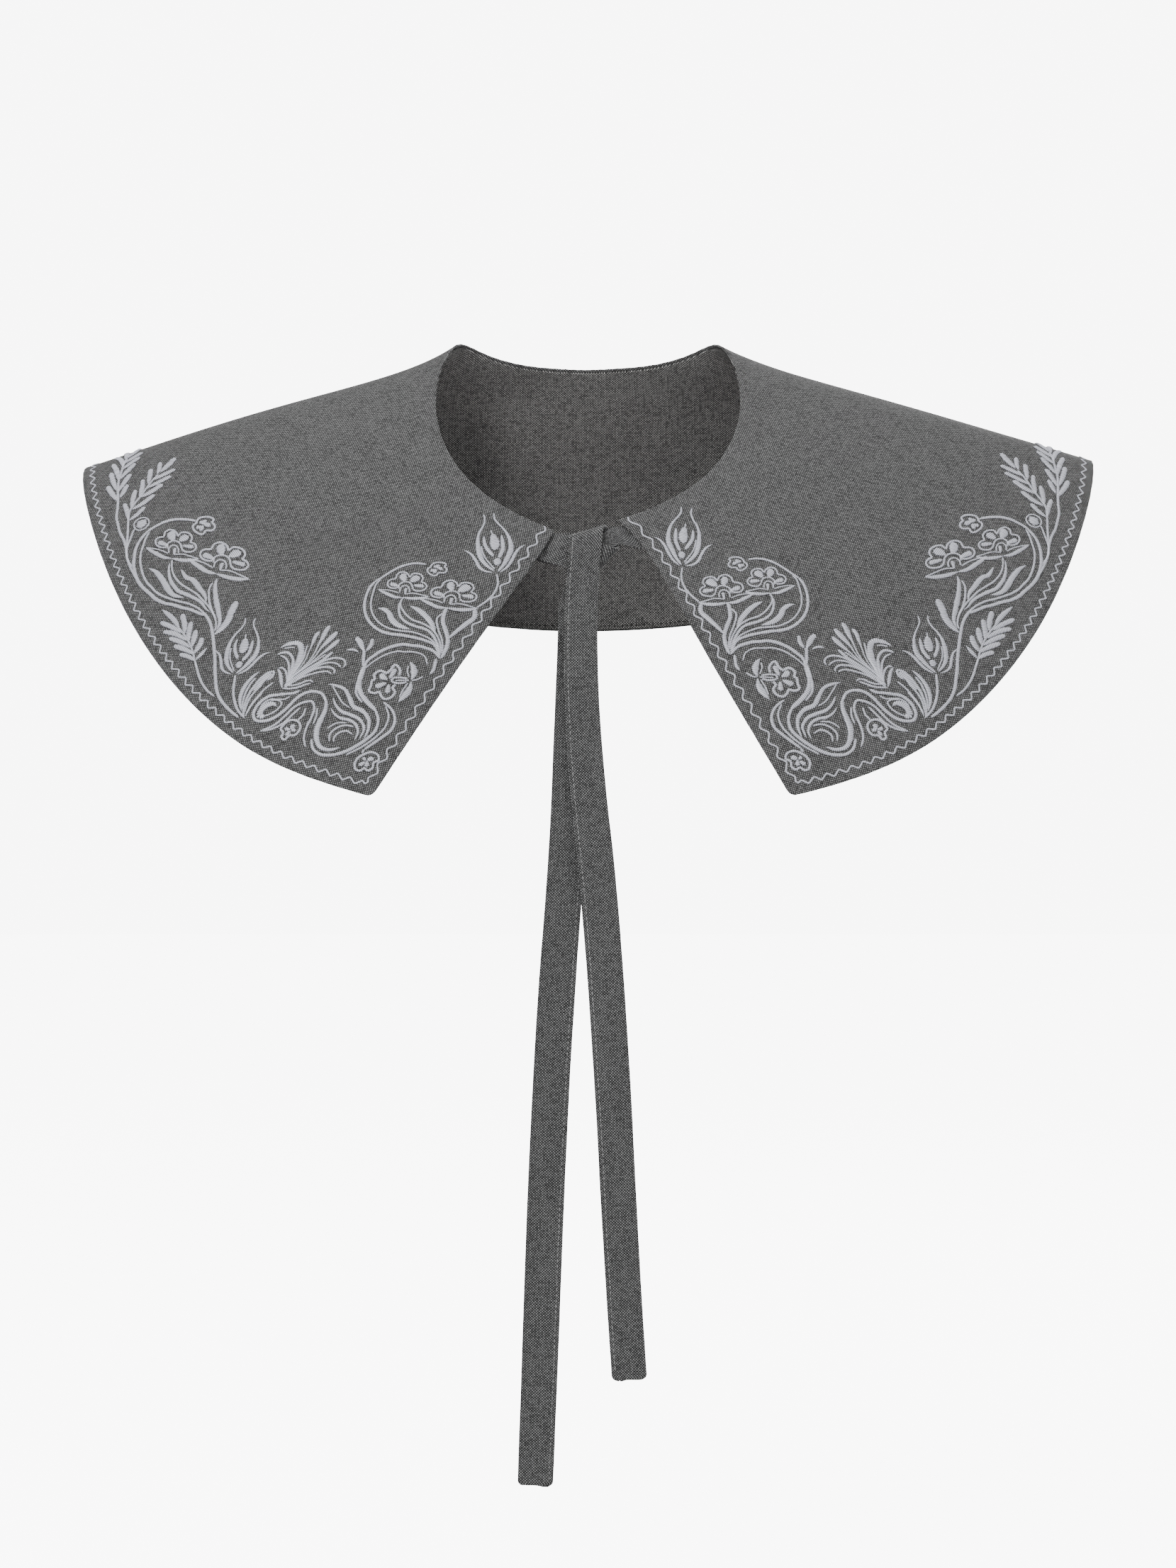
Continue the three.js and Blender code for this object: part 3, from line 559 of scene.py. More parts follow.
def share_at(t, s):
    x = np.clip(t, 0, 1) * (ROUND_STEPS - 1)
    y = np.clip(s, 0, 1) * (DOWN_STEPS - 1)
    i = np.minimum(x.astype(int), ROUND_STEPS - 2)
    j = np.minimum(y.astype(int), DOWN_STEPS - 2)
    f, g = x - i, y - j
    one = SHARE[i, j] * (1 - g) + SHARE[i, j + 1] * g
    other = SHARE[i + 1, j] * (1 - g) + SHARE[i + 1, j + 1] * g
    return one * (1 - f) + other * f


def to_flat(t, s):
    """Place on the flat cut, in millimetres."""
    t, s = np.broadcast_arrays(np.asarray(t, float), np.asarray(s, float))
    neck, hem = pick(FLAT_NECK, t), pick(FLAT_HEM, t)
    return neck + (hem - neck) * share_at(t, s)[..., None]


def from_flat(points):
    """(t, s) on the left half for places on the flat cut."""
    half = ROUND_STEPS // 2 + 2
    neck, hem = FLAT_NECK[:half], FLAT_HEM[:half]
    down = unit(hem - neck)
    t = np.empty(len(points))
    for start in range(0, len(points), 4000):
        block = slice(start, start + 4000)
        offset = points[block, None] - neck[None]
        side = down[:, 0] * offset[..., 1] - down[:, 1] * offset[..., 0]
        along = (offset * down).sum(-1) / LENGTHS[:half]
        near = np.where((along > -0.1) & (along < 1.1), np.abs(side), 1e9)
        i = np.clip(near.argmin(1), 1, half - 2)
        rows = np.arange(len(i))
        here, after, before = side[rows, i], side[rows, i + 1], side[rows, i - 1]
        forward = here * after <= 0
        gap_after = np.where(np.abs(here - after) < 1e-9, 1e-9, here - after)
        gap_before = np.where(np.abs(here - before) < 1e-9, 1e-9, here - before)
        step = np.where(forward, here / gap_after, -here / gap_before)
        t[block] = (i + np.clip(step, -2, 2)) / (ROUND_STEPS - 1)
    t = np.clip(t, 0, 0.5)
    near_neck, near_hem = pick(FLAT_NECK, t), pick(FLAT_HEM, t)
    run = near_hem - near_neck
    wanted = ((points - near_neck) * run).sum(-1) / (run**2).sum(-1)
    s = wanted.copy()
    for _ in range(5):
        s = np.clip(s + wanted - share_at(t, s), 0.002, 0.998)
    return t, s


# Meshes


def place_in_scene(name, data):
    obj = bpy.data.objects.new(name, data)
    bpy.context.scene.collection.objects.link(obj)
    return obj


def new_mesh(name, points, faces, triangles):
    """A mesh object from millimetre points, faces of four corners and faces of three."""
    mesh = bpy.data.meshes.new(name)
    faces = np.asarray(faces, np.int32)
    triangles = np.asarray(triangles, np.int32)
    starts = np.concatenate([np.arange(0, faces.size, 4), faces.size + np.arange(0, triangles.size, 3)])
    mesh.vertices.add(len(points))
    mesh.vertices.foreach_set("co", (np.asarray(points) * MM).astype(np.float32).ravel())
    mesh.loops.add(faces.size + triangles.size)
    mesh.loops.foreach_set("vertex_index", np.concatenate([faces.ravel(), triangles.ravel()]))
    mesh.polygons.add(len(starts))
    mesh.polygons.foreach_set("loop_start", starts.astype(np.int32))
    mesh.update(calc_edges=True)
    mesh.validate()
    return place_in_scene(name, mesh)


def cloth_grid(name, points, flat):
    """A plane with a corner for each point of a [column][row] grid, its UV the flat cut."""
    columns, rows = points.shape[:2]
    bpy.ops.mesh.primitive_grid_add(x_subdivisions=columns - 1, y_subdivisions=rows - 1, size=2)
    obj = bpy.context.object
    obj.name = obj.data.name = name
    mesh = obj.data
    place = np.empty(len(mesh.vertices) * 3, np.float32)
    mesh.vertices.foreach_get("co", place)
    place = place.reshape(-1, 3)
    column = np.rint((place[:, 0] + 1) / 2 * (columns - 1)).astype(int)
    row = np.rint((place[:, 1] + 1) / 2 * (rows - 1)).astype(int)
    moved = points[column, row] * MM
    mesh.vertices.foreach_set("co", moved.astype(np.float32).ravel())
    corner = np.empty(len(mesh.loops), np.int32)
    mesh.loops.foreach_get("vertex_index", corner)
    uv = flat[column, row][corner] * MM + 0.5
    mesh.uv_layers[0].name = "Cut"
    mesh.uv_layers["Cut"].data.foreach_set("uv", uv.astype(np.float32).ravel())
    mesh.update()
    return obj


def apply_modifier(obj, kind, **settings):
    bpy.ops.object.select_all(action="DESELECT")
    bpy.context.view_layer.objects.active = obj
    obj.select_set(True)
    modifier = obj.modifiers.new(kind.title(), kind)
    for key, value in settings.items():
        setattr(modifier, key, value)
    bpy.ops.object.modifier_apply(modifier=modifier.name)


def thicken(obj, thickness, offset, rounding):
    """Gives a sheet its wall and softens the wall's edges."""
    apply_modifier(obj, "SOLIDIFY", thickness=thickness * MM, offset=offset, use_even_offset=False)
    apply_modifier(
        obj, "BEVEL", width=rounding * MM, segments=3, limit_method="ANGLE", angle_limit=math.radians(50),
    )
    bpy.ops.object.select_all(action="DESELECT")
    obj.select_set(True)
    bpy.context.view_layer.objects.active = obj
    bpy.ops.object.shade_smooth()


ROUND_COLUMNS, DOWN_ROWS = 420, 66
TIP_ROUND = 3.4


def eased(count, crowd=0.35):
    """Shares from 0 to 1, closer together at both ends."""
    u = np.linspace(0, 1, count)
    return u - crowd * np.sin(2 * np.pi * u) / (2 * np.pi)


HEM_LENGTH = length_of(drape(np.linspace(0, 1, 400), 1.0))


def rounded_tips(t, s, inset):
    """Draws the two front tips in to a small round corner."""
    from_hem = (1 - s) * LENGTHS[0] - inset
    near = np.minimum(t, 1 - t)
    from_front = near * HEM_LENGTH - inset
    x, y = (np.clip(1 - d / TIP_ROUND, 0, 1) for d in (from_front, from_hem))
    pull = 1 - np.maximum(x, y) / np.maximum(np.hypot(x, y), 1e-9)
    t = t + np.sign(0.5 - t) * pull * x * TIP_ROUND / HEM_LENGTH
    return t, s - pull * y * TIP_ROUND / LENGTHS[0]


def collar_layer(name, depth, thickness, inset, rounding):
    neck_length = length_of(drape(np.linspace(0, 1, 400), 0.0))
    front_edge = length_of(drape(0.0, np.linspace(0, 1, 200)))
    share = eased(DOWN_ROWS)
    s = inset / front_edge + (1 - 2 * inset / front_edge) * share
    t = inset / neck_length + (1 - 2 * inset / neck_length) * np.linspace(0, 1, ROUND_COLUMNS)
    t, s = rounded_tips(*np.meshgrid(t, s, indexing="ij"), inset)
    obj = cloth_grid(name, surface(t, s, -depth), to_flat(t, s))
    thicken(obj, thickness, -1, rounding)
    return obj


# Ties


class Strap:
    """Walked like a strip of paper: runs on, turns in its plane, curls, twists and folds over."""

    def __init__(self, middle, heading, across, width=1.0, bunch=1.0):
        self.middle = np.array(middle, float)
        self.heading = unit(np.array(heading, float))
        across = np.array(across, float)
        self.across = unit(across - self.heading * (across @ self.heading))
        self.slant, self.width, self.bunch = 0.0, width, bunch
        self.stations = []
        self.mark()

    def arm(self):
        return self.across + self.heading * math.tan(self.slant)

    def mark(self):
        arm = self.arm() * self.width * TIE_WIDTH / 2
        self.stations.append((self.middle.copy(), arm, self.bunch * TIE_THICKNESS))

    def rotate(self, axis, degrees):
        angle = math.radians(degrees)
        turn = []
        for v in (self.heading, self.across):
            straight = v * math.cos(angle) + np.cross(axis, v) * math.sin(angle)
            turn.append(straight + axis * (axis @ v) * (1 - math.cos(angle)))
        self.heading, self.across = turn

    def run(self, length, turn=0, curl=0, twist=0, slant=0, width=None, bunch=None, steps=3):
        slant_step = (math.radians(slant) - self.slant) / steps
        width_step = ((self.width if width is None else width) - self.width) / steps
        bunch_step = ((self.bunch if bunch is None else bunch) - self.bunch) / steps
        for _ in range(steps):
            self.rotate(np.cross(self.heading, self.across), turn / steps)
            self.rotate(self.across.copy(), curl / steps)
            self.rotate(self.heading.copy(), twist / steps)
            self.middle = self.middle + self.heading * length / steps
            self.slant += slant_step
            self.width += width_step
            self.bunch += bunch_step
            self.mark()

    def fold_over(self, radius, steps=6):
        crease = unit(self.arm())
        stride = math.pi * radius / steps / math.cos(self.slant)
        for _ in range(steps):
            self.rotate(crease, 90 / steps)
            self.middle = self.middle + self.heading * stride
            self.rotate(crease, 90 / steps)
            self.mark()

    def hang(self, length, runs):
        for share, turn, curl, twist, width in runs:
            self.run(share * length, turn, curl, twist, width=width)


NECK_LENGTH = length_of(drape(np.linspace(0, 1, 201), 0.0))
FRONT_EDGE = length_of(drape(0.0, np.linspace(0, 1, 201)))
TIE_MID_SHARE = (TIE_WIDTH / 2 + TIE_BELOW_CORNER) / FRONT_EDGE
TIE_DEPTH = 2 * CLOTH + LAYER_GAP + TIE_GAP + TIE_THICKNESS / 2
KNOT_LAYER = TIE_THICKNESS + KNOT_SLACK
KNOT_MIDDLE = (drape(0.0, 0.0) + drape(1.0, 0.0)) / 2


def in_knot(right, layers_forward, up):
    return KNOT_MIDDLE + np.array([right * TIE_WIDTH, -layers_forward * KNOT_LAYER, up * TIE_WIDTH])


def heading_at(degrees):
    angle = math.radians(degrees)
    return np.array([math.cos(angle), 0, math.sin(angle)])


def sewn_end(edge, first_middle, first_heading, first_arm, first_thickness):
    """Where a tie is sewn under the front edge, then its way out to the knot."""
    inside = 1 if edge == 0 else -1

    def under(lap, s):
        t = np.array(edge + inside * lap / NECK_LENGTH)
        s = np.array(s, float)
        return drape(t, s) - outward(t, s) * TIE_DEPTH

    stations = []
    for lap in (TIE_LAP, TIE_LAP / 2, 0):
        arm = unit(under(lap, 0) - under(lap, 2 * TIE_MID_SHARE)) * inside * TIE_WIDTH / 2
        stations.append((under(lap, TIE_MID_SHARE), arm, TIE_THICKNESS))
    start, start_arm = stations[2][0], stations[2][1]
    reach = np.linalg.norm(start - first_middle) / 3
    leave = start + unit(start - stations[1][0]) * reach
    arrive = first_middle - unit(first_heading) * reach
    for i in range(1, 5):
        u = i / 5
        ease = u * u * (3 - 2 * u)
        middle = (1 - u) ** 3 * start + 3 * u * (1 - u) ** 2 * leave
        middle = middle + 3 * u * u * (1 - u) * arrive + u**3 * first_middle
        arm = start_arm * (1 - ease) + first_arm * ease
        stations.append((middle, arm, TIE_THICKNESS * (1 - u) + first_thickness * u))
    return stations


def left_tie_stations():
    heading = heading_at(-17)
    strap = Strap(in_knot(-0.57, LEFT_TIE_LAYER, -0.73), heading, heading_at(73))
    middle, arm, thickness = strap.stations[0]
    strap.run(1.01 * TIE_WIDTH, slant=28, width=0.95, steps=5)
    strap.fold_over(KNOT_LAYER)
    strap.run(0.66 * TIE_WIDTH, turn=-22, slant=-22, width=0.94, steps=5)
    strap.fold_over(OVER_KNOT * KNOT_LAYER)
    strap.run(0.4 * TIE_WIDTH, slant=0)
    strap.hang(FRONT_TAIL - 0.4 * TIE_WIDTH, FRONT_TAIL_RUNS)
    return sewn_end(0, middle, heading, arm, thickness) + strap.stations


def right_tie_stations():
    heading = heading_at(209)
    strap = Strap(in_knot(0.81, RIGHT_TIE_LAYER, -0.34), heading, heading_at(299), 0.5, 1.4)
    middle, arm, thickness = strap.stations[0]
    strap.run(0.84 * TIE_WIDTH, turn=6, width=0.38, bunch=1.5, steps=4)
    strap.run(0.36 * TIE_WIDTH, turn=10)
    strap.run(0.44 * TIE_WIDTH, turn=46, width=0.5, steps=4)
    strap.run(0.9 * TIE_WIDTH, turn=-2.4, width=1, bunch=1, steps=4)
    strap.hang(BACK_TAIL, BACK_TAIL_RUNS)
    return sewn_end(1, middle, heading, arm, thickness) + strap.stations


def smooth_through(values, at, fine):
    """Cubic curve through values at the lengths given, read at finer lengths."""
    slope = np.empty_like(values)
    gaps = np.diff(at)[:, None]
    chords = np.diff(values, axis=0) / gaps
    slope[0], slope[-1] = chords[0], chords[-1]
    slope[1:-1] = (chords[:-1] * gaps[1:] + chords[1:] * gaps[:-1]) / (gaps[1:] + gaps[:-1])
    i = np.clip(np.searchsorted(at, fine, side="right") - 1, 0, len(at) - 2)
    width = (at[i + 1] - at[i])[:, None]
    u = (fine - at[i])[:, None] / width
    h00, h10 = 2 * u**3 - 3 * u**2 + 1, u**3 - 2 * u**2 + u
    h01, h11 = -2 * u**3 + 3 * u**2, u**3 - u**2
    return h00 * values[i] + h10 * width * slope[i] + h01 * values[i + 1] + h11 * width * slope[i + 1]


TIE_COLUMNS = 15
TIE_STITCH_IN = 1.8  # topstitching lies this far from one edge
TIE_ROW = 1.1
TIE_CORNER = 2.2  # radius of the corners at its end
TIE_CUT_MIDDLE = 220  # about the middle of a tie's length, where its flat cut is centred


def softened(values, reach):
    """Values along a run, each the mean of its neighbours, the ends kept."""
    steps = int(3 * reach)
    weight = np.exp(-0.5 * (np.arange(-steps, steps + 1) / reach) ** 2)
    padded = np.concatenate([np.repeat(values[:1], steps, 0), values, np.repeat(values[-1:], steps, 0)])
    return np.stack([np.convolve(padded[:, k], weight / weight.sum(), "valid") for k in range(3)], axis=1)


def tie_face(stations):
    """Middle, arm and facing direction at fine steps along a tie."""
    middles = np.array([s[0] for s in stations])
    arms = np.array([s[1] for s in stations])
    thick = np.array([[s[2]] for s in stations])
    at = lengths_along(middles)
    fine = np.linspace(0, at[-1], int(at[-1] / TIE_ROW))
    fine = np.concatenate([fine[:-2], at[-1] - TIE_CORNER * np.array([0.75, 0.5, 0.3, 0.15, 0.06, 0.015, 0])])
    middle = smooth_through(middles, at, fine)
    arm = softened(smooth_through(arms, at, fine), 2.5)
    thickness = smooth_through(thick, at, fine)[:, 0]
    left_over = np.clip(at[-1] - fine, 0, TIE_CORNER)
    half = np.linalg.norm(arm, axis=1)
    cut_in = TIE_CORNER - np.sqrt(TIE_CORNER**2 - (TIE_CORNER - left_over) ** 2)
    arm = arm * (1 - cut_in / half)[:, None]
    along = np.gradient(middle, axis=0)
    face = unit(np.cross(along, arm))
    return fine, middle, arm, face, thickness


def tie_dip(run, across, from_edge):
    """How far the tie lies off its plain middle face: pressed at its stitching, lightly waved."""
    press = -0.32 * np.exp(-(((from_edge - TIE_STITCH_IN) / 0.9) ** 2))
    return press + 0.25 * np.sin(run / 13 + 2 * across) * np.sin(run / 31)


def tie(name, stations, stitched_side):
    fine, middle, arm, face, thickness = tie_face(stations)
    across = np.linspace(-1, 1, TIE_COLUMNS)
    half = np.linalg.norm(arm, axis=1)
    points = middle[:, None] + arm[:, None] * across[None, :, None]
    from_edge = (1 - stitched_side * across)[None] * half[:, None]
    points = points + face[:, None] * tie_dip(fine[:, None], across[None], from_edge)[..., None]
    cut_place = np.broadcast_arrays(across[None] * TIE_WIDTH / 2, fine[:, None] - TIE_CUT_MIDDLE)
    flat = np.stack(cut_place, axis=-1)
    obj = cloth_grid(name, points, flat)
    thicken(obj, TIE_THICKNESS, 0, 0.45)
    return obj


# Stitches

chance = np.random.default_rng(11)


def spaced(points, gap):
    """Points at even steps along a smooth curve through the given ones."""
    points = np.asarray(points, float)
    at = lengths_along(points)
    dense = smooth_through(points, at, np.linspace(0, at[-1], max(16, int(at[-1] * 8))))
    run = lengths_along(dense)
    count = max(6, int(round(run[-1] / gap)))
    even = np.linspace(0, run[-1], count + 1)
    return read_along(even, run, dense), run[-1]


def ends(u, length, reach):
    """Rounds a line off over its first and last stretch."""
    d = np.minimum(u, 1 - u) * length
    return np.sqrt(np.clip(1 - (1 - np.clip(d / reach, 0, 1)) ** 2, 0, 1))


DRAWN_IN = 0.9  # the thread draws each line in to this share of its outline


def width_along(kind, u, length, width):
    """Width of a line of stitch at each share u of its length."""
    if kind == "leaf":
        shape = 0.3 + 0.7 * np.sin(np.pi * np.clip(u, 0, 1)) ** 0.8
        return DRAWN_IN * width * shape * ends(u, length, 1.2 * width)
    if kind == "blade":
        shape = 0.38 + 0.62 * np.sin(np.pi / 2 * np.clip(u / 0.5, 0, 1))
        return width * shape * ends(u, length, 0.8 * width)
    if kind == "bud":
        shape = 0.26 + 0.74 * np.exp(-(((u - 0.13) / 0.17) ** 2))
        return DRAWN_IN * width * shape * ends(u, length, 0.7 * width)
    if kind == "petal":
        shape = 0.34 + 0.66 * np.exp(-(((u - 0.34) / 0.24) ** 2))
        return width * shape * ends(u, length, 0.7 * width)
    if kind == "drop":
        pointed = np.clip(u / 0.62, 0, 1) ** 0.85
        return width * np.minimum(pointed, np.sqrt(np.clip(1 - ((u - 0.62) / 0.38) ** 2, 0.02, 1)))
    if kind == "wedge":
        return width * (1 - 0.5 * u) * ends(u, length, 0.55 * width)
    if kind == "fill":
        return width * np.sqrt(np.clip(1 - (2 * u - 1) ** 2, 0, 1)) ** 0.8
    if kind in ("loop", "line"):
        return np.full_like(u, DRAWN_IN * width)
    return DRAWN_IN * width * (0.82 + 0.18 * np.sin(np.pi * u)) * ends(u, length, 1.1 * width)


# Across a row of satin: places on it, their heights, and how lit they are, a mask for painted light and
# painted shade.
# The last two places lie below the cloth.
SATIN = np.array([-1.12, -0.78, 0, 0.78, 1.12, 0.85, -0.85])
SATIN_RISE = np.array([0.04, 0.72, 1, 0.72, 0.04])
SATIN_LIT = np.array([-0.1, 1, 1, 1, -0.1, 0, 0])
UNDER_CLOTH = 0.35
THINNEST = 0.12  # half the width of the finest line
# The ends of a row's tube are closed by these points of its ring
CAP_QUADS = np.array([(0, 1, 5, 6), (1, 2, 4, 5)])
CAP_CORNER = np.array([(2, 3, 4)])


def satin(kind, width, points):
    """One line of satin stitch: its places on the chart, their heights and how lit they are, the mask of its
    painted shade.
    """
    closed = kind == "loop"
    if closed:
        points = np.vstack([points, points[:2]])
    line, length = spaced(points, STITCH_PITCH / 2)
    if closed:
        start = len(line) // 2 - int(len(line) * 0.5 * (len(points) - 2) / (len(points) - 1))
        line = line[max(start, 0):]
    over, along = leftward(line)
    half = np.maximum(width_along(kind, np.linspace(0, 1, len(line)), length, width) / 2, THINNEST)
    rise = STITCH_RISE * (0.75 + 0.25 * np.clip(half / 1.2, 0, 1)) * np.clip(half / 0.45, 0.25, 1)
    return satin_rows(line, over + along * STITCH_SLANT, half, rise)


def satin_rows(line, across, half, rise):
    """Rows across a line: every second one is the low, narrow gap between two stitches."""
    gap = np.arange(len(line)) % 2
    uneven = chance.normal(0, 1, (2, len(line)))
    half = half * np.where(gap, 0.78, 1.0 + 0.07 * uneven[0])
    high = rise * np.where(gap, 0.45, 1.0 + 0.1 * uneven[1])
    place = line[:, None] + across[:, None] * (SATIN[None, :, None] * half[:, None, None])
    height = np.concatenate([SATIN_RISE[None] * high[:, None], np.full((len(line), 2), -UNDER_CLOTH)], axis=1)
    # Painted shade: gap rows are marked nearly unlit, so the thread material draws them near black. The edge
    # places on the cloth are unlit too, a painted shadow line round each line.
    lit = SATIN_LIT[None] * np.where(gap, 0.1, 1.0)[:, None]
    return place, height, lit


def mark_lit(obj, values):
    lit = obj.data.attributes.new("lit", "FLOAT", "POINT")
    lit.data.foreach_set("value", values.astype(np.float32))


def ring_faces(count, first):
    """Quads and triangles of a closed tube of count rings of satin points."""
    ring = len(SATIN)
    a = first + np.arange(count - 1)[:, None] * ring + np.arange(ring)[None]
    b = first + np.arange(count - 1)[:, None] * ring + (np.arange(ring) + 1)[None] % ring
    sides = np.stack([a, a + ring, b + ring, b], axis=-1).reshape(-1, 4)
    last = first + (count - 1) * ring
    quads = np.concatenate([sides, first + CAP_QUADS, last + CAP_QUADS[:, ::-1]])
    return quads, np.concatenate([first + CAP_CORNER, last + CAP_CORNER[:, ::-1]])


def stitched(name, lines, place_on, mirrored=False):
    """Joins lines of stitch into one piece lying on the cloth."""
    places, heights, faces, triangles, lits = [], [], [], [], []
    first = 0
    for place, height, lit in lines:
        quads, corners = ring_faces(len(place), first)
        faces.append(quads)
        triangles.append(corners)
        places.append(place.reshape(-1, 2))
        heights.append(height.ravel())
        lits.append(lit.ravel())
        first += height.size
    t, s = from_flat(place_on(np.concatenate(places)))
    if mirrored:
        t = 1 - t
    points = surface(t, s, np.concatenate(heights))
    turn = 1 if mirrored else -1
    obj = new_mesh(name, points, np.concatenate(faces)[:, ::turn], np.concatenate(triangles)[:, ::turn])
    mark_lit(obj, np.concatenate(lits))
    obj.data.shade_smooth()
    return obj


def chart_to_flat(places):
    """The chart lies with its origin on the left front tip, x toward CHART_TOWARD on the hem."""
    origin = FLAT_HEM[0]
    x_axis = unit(pick(FLAT_HEM, np.array(CHART_TOWARD)) - origin)
    y_axis = np.array([-x_axis[1], x_axis[0]])
    if (FLAT_NECK[0] - origin) @ y_axis < 0:
        y_axis = -y_axis
    return origin + places[:, :1] * x_axis + places[:, 1:] * y_axis


def read_places(text):
    return np.array([[float(v) for v in pair.split(",")] for pair in text.split()])


def panel_lines():
    lines = [satin(kind, width, read_places(text)) for kind, width, text in PANEL]
    for drawing, place, right, up in BLOSSOMS:
        right, up = np.array(right) / 100, np.array(up) / 100
        unit_size = math.sqrt(abs(right[0] * up[1] - right[1] * up[0]))
        for kind, width, text in drawing:
            p = read_places(text)
            on_chart = np.array(place) + p[:, :1] * right + p[:, 1:] * up
            lines.append(satin(kind, width * unit_size, on_chart))
    return lines


def rounded_zigzag(x, sharp):
    return np.arcsin(sharp * np.sin(2 * np.pi * x)) / math.asin(sharp)


def edge_run(edge, start):
    """An edge of the flat cut at fine steps, its whole length, and the way into the cloth."""
    known = lengths_along(edge)
    fine = np.arange(start, known[-1], EDGE_STEP)
    line = read_along(fine, known, edge)
    inward, _ = leftward(line)
    probe = len(line) // 8
    inside = (FLAT_NECK[20] + FLAT_HEM[20]) / 2
    if (inside - line[probe]) @ inward[probe] < 0:
        inward = -inward
    return fine, known[-1], line, inward


def border_line():
    """The border's zigzag on the left half of the flat cut, from neck to middle back."""
    front_edge = to_flat(np.zeros(200), np.linspace(0.0, 1, 200))
    hem_edge = to_flat(np.linspace(0, 0.5, 900), np.ones(900))
    front, front_end, front_line, front_in = edge_run(front_edge, ZIGZAG_START)
    hem, hem_end, hem_line, hem_in = edge_run(hem_edge, 0.0)
    waves = round((front_end - front[0] - ZIGZAG_IN) / ZIGZAG_STEP_FRONT)
    wave = (front_end - front[0] - ZIGZAG_IN) / waves
    keep = front < front_end - ZIGZAG_IN
    swing = ZIGZAG_IN - ZIGZAG_SWING * rounded_zigzag((front[keep] - front[0]) / wave, 0.8)
    first = front_line[keep] + front_in[keep] * swing[:, None]
    waves = round((hem_end - ZIGZAG_IN) / ZIGZAG_STEP_HEM)
    wave = (hem_end - ZIGZAG_IN) / (waves + 0.25)
    keep = hem > ZIGZAG_IN
    swing = ZIGZAG_IN + ZIGZAG_SWING * rounded_zigzag((hem[keep] - ZIGZAG_IN) / wave, 0.94)
    second = hem_line[keep] + hem_in[keep] * swing[:, None]
    return np.vstack([first[::4], second[::4]])


def border(name, mirrored):
    line = border_line()
    known = lengths_along(line)
    line = read_along(np.linspace(0, known[-1], int(known[-1] / BORDER_STEP)), known, line)
    over, _ = leftward(line)
    row = satin_rows(line, over, np.full(len(line), BORDER_HALF_WIDTH), BORDER_RISE)
    return stitched(name, [row], lambda p: p, mirrored)


STITCH_SHAPE = np.array([[-1, 0.3], [-0.8, 0.75], [0, 1], [0.8, 0.75], [1, 0.3]])
STITCH_RING = [(math.cos(math.radians(a)), math.sin(math.radians(a))) for a in range(0, 360, 60)]


def small_stitches(name, rows, length, radius):
    """Plain stitches: each row gives middles, the way they run and the way they face."""
    sides = len(STITCH_RING)
    points, faces, first = [], [], 0
    for middle, along, up in rows:
        along, up = unit(along), unit(up)
        side = np.cross(up, along)
        for m, f, u, w in zip(middle, along, up, side):
            for run, wide in STITCH_SHAPE:
                for c, d in STITCH_RING:
                    points.append(m + f * run * length / 2 + (w * c + u * d) * radius * wide)
            for k in range(len(STITCH_SHAPE) - 1):
                for j in range(sides):
                    a, b = first + sides * k + j, first + sides * k + (j + 1) % sides
                    faces.append((a, b, b + sides, a + sides))
            faces.append(tuple(range(first + sides - 1, first - 1, -1)))
            last = first + sides * (len(STITCH_SHAPE) - 1)
            faces.append(tuple(range(last, last + sides)))
            first = last + sides
    mesh = bpy.data.meshes.new(name)
    mesh.from_pydata([tuple(p * MM) for p in points], [], faces)
    obj = place_in_scene(name, mesh)
    mark_lit(obj, np.ones(len(points)))
    obj.data.shade_smooth()
    return obj


TOPSTITCH_START, TOPSTITCH_PITCH = 30, 2.6
TOPSTITCH_SHARE, TOPSTITCH_RADIUS, SUNK = 0.66, 0.34, 0.02


def tie_stitches(name, stations, stitched_side):
    """Topstitching down one edge of a tie, on both faces, from the knot to its end."""
    fine, middle, arm, face, thickness = tie_face(stations)
    half = np.linalg.norm(arm, axis=1)
    across = stitched_side * (1 - TIE_STITCH_IN / half)
    line = middle + arm * across[:, None]
    at = np.arange(TOPSTITCH_START, fine[-1] - TIE_STITCH_IN - TOPSTITCH_PITCH / 2, TOPSTITCH_PITCH)
    along, out = read_along(at, fine, np.gradient(line, axis=0)), unit(read_along(at, fine, face))
    up = np.interp(at, fine, thickness / 2)[:, None] - SUNK
    dip = tie_dip(at, np.interp(at, fine, across), TIE_STITCH_IN)[:, None]
    place = read_along(at, fine, line) + out * dip
    rows = [(place + out * up, along, out), (place - out * up, along, -out)]
    return small_stitches(name, rows, TOPSTITCH_PITCH * TOPSTITCH_SHARE, TOPSTITCH_RADIUS)


UNDERSIDE = 2 * CLOTH + LAYER_GAP
UNDERSTITCH_PITCH, UNDERSTITCH_IN, UNDERSTITCH_LENGTH, UNDERSTITCH_RADIUS = 2.1, 1.6, 1.0, 0.38


def understitches(name):
    """The row of small stitches that holds the facing, just inside the hem."""
    at = np.linspace(0.004, 0.996, 4000)
    hem = surface(at, np.ones_like(at), -UNDERSIDE)
    run = lengths_along(hem)
    t = np.interp(np.arange(0, run[-1], UNDERSTITCH_PITCH), run, at)
    last_stretch = np.linalg.norm(drape(t, 1.0) - drape(t, 0.95), axis=1)
    s = 1 - (UNDERSTITCH_IN + FACING_INSET) / last_stretch * 0.05
    here = surface(t, s, -UNDERSIDE)
    rows = [(here, np.gradient(here, axis=0), -outward(t, s))]
    return small_stitches(name, rows, UNDERSTITCH_LENGTH, UNDERSTITCH_RADIUS)


# Materials


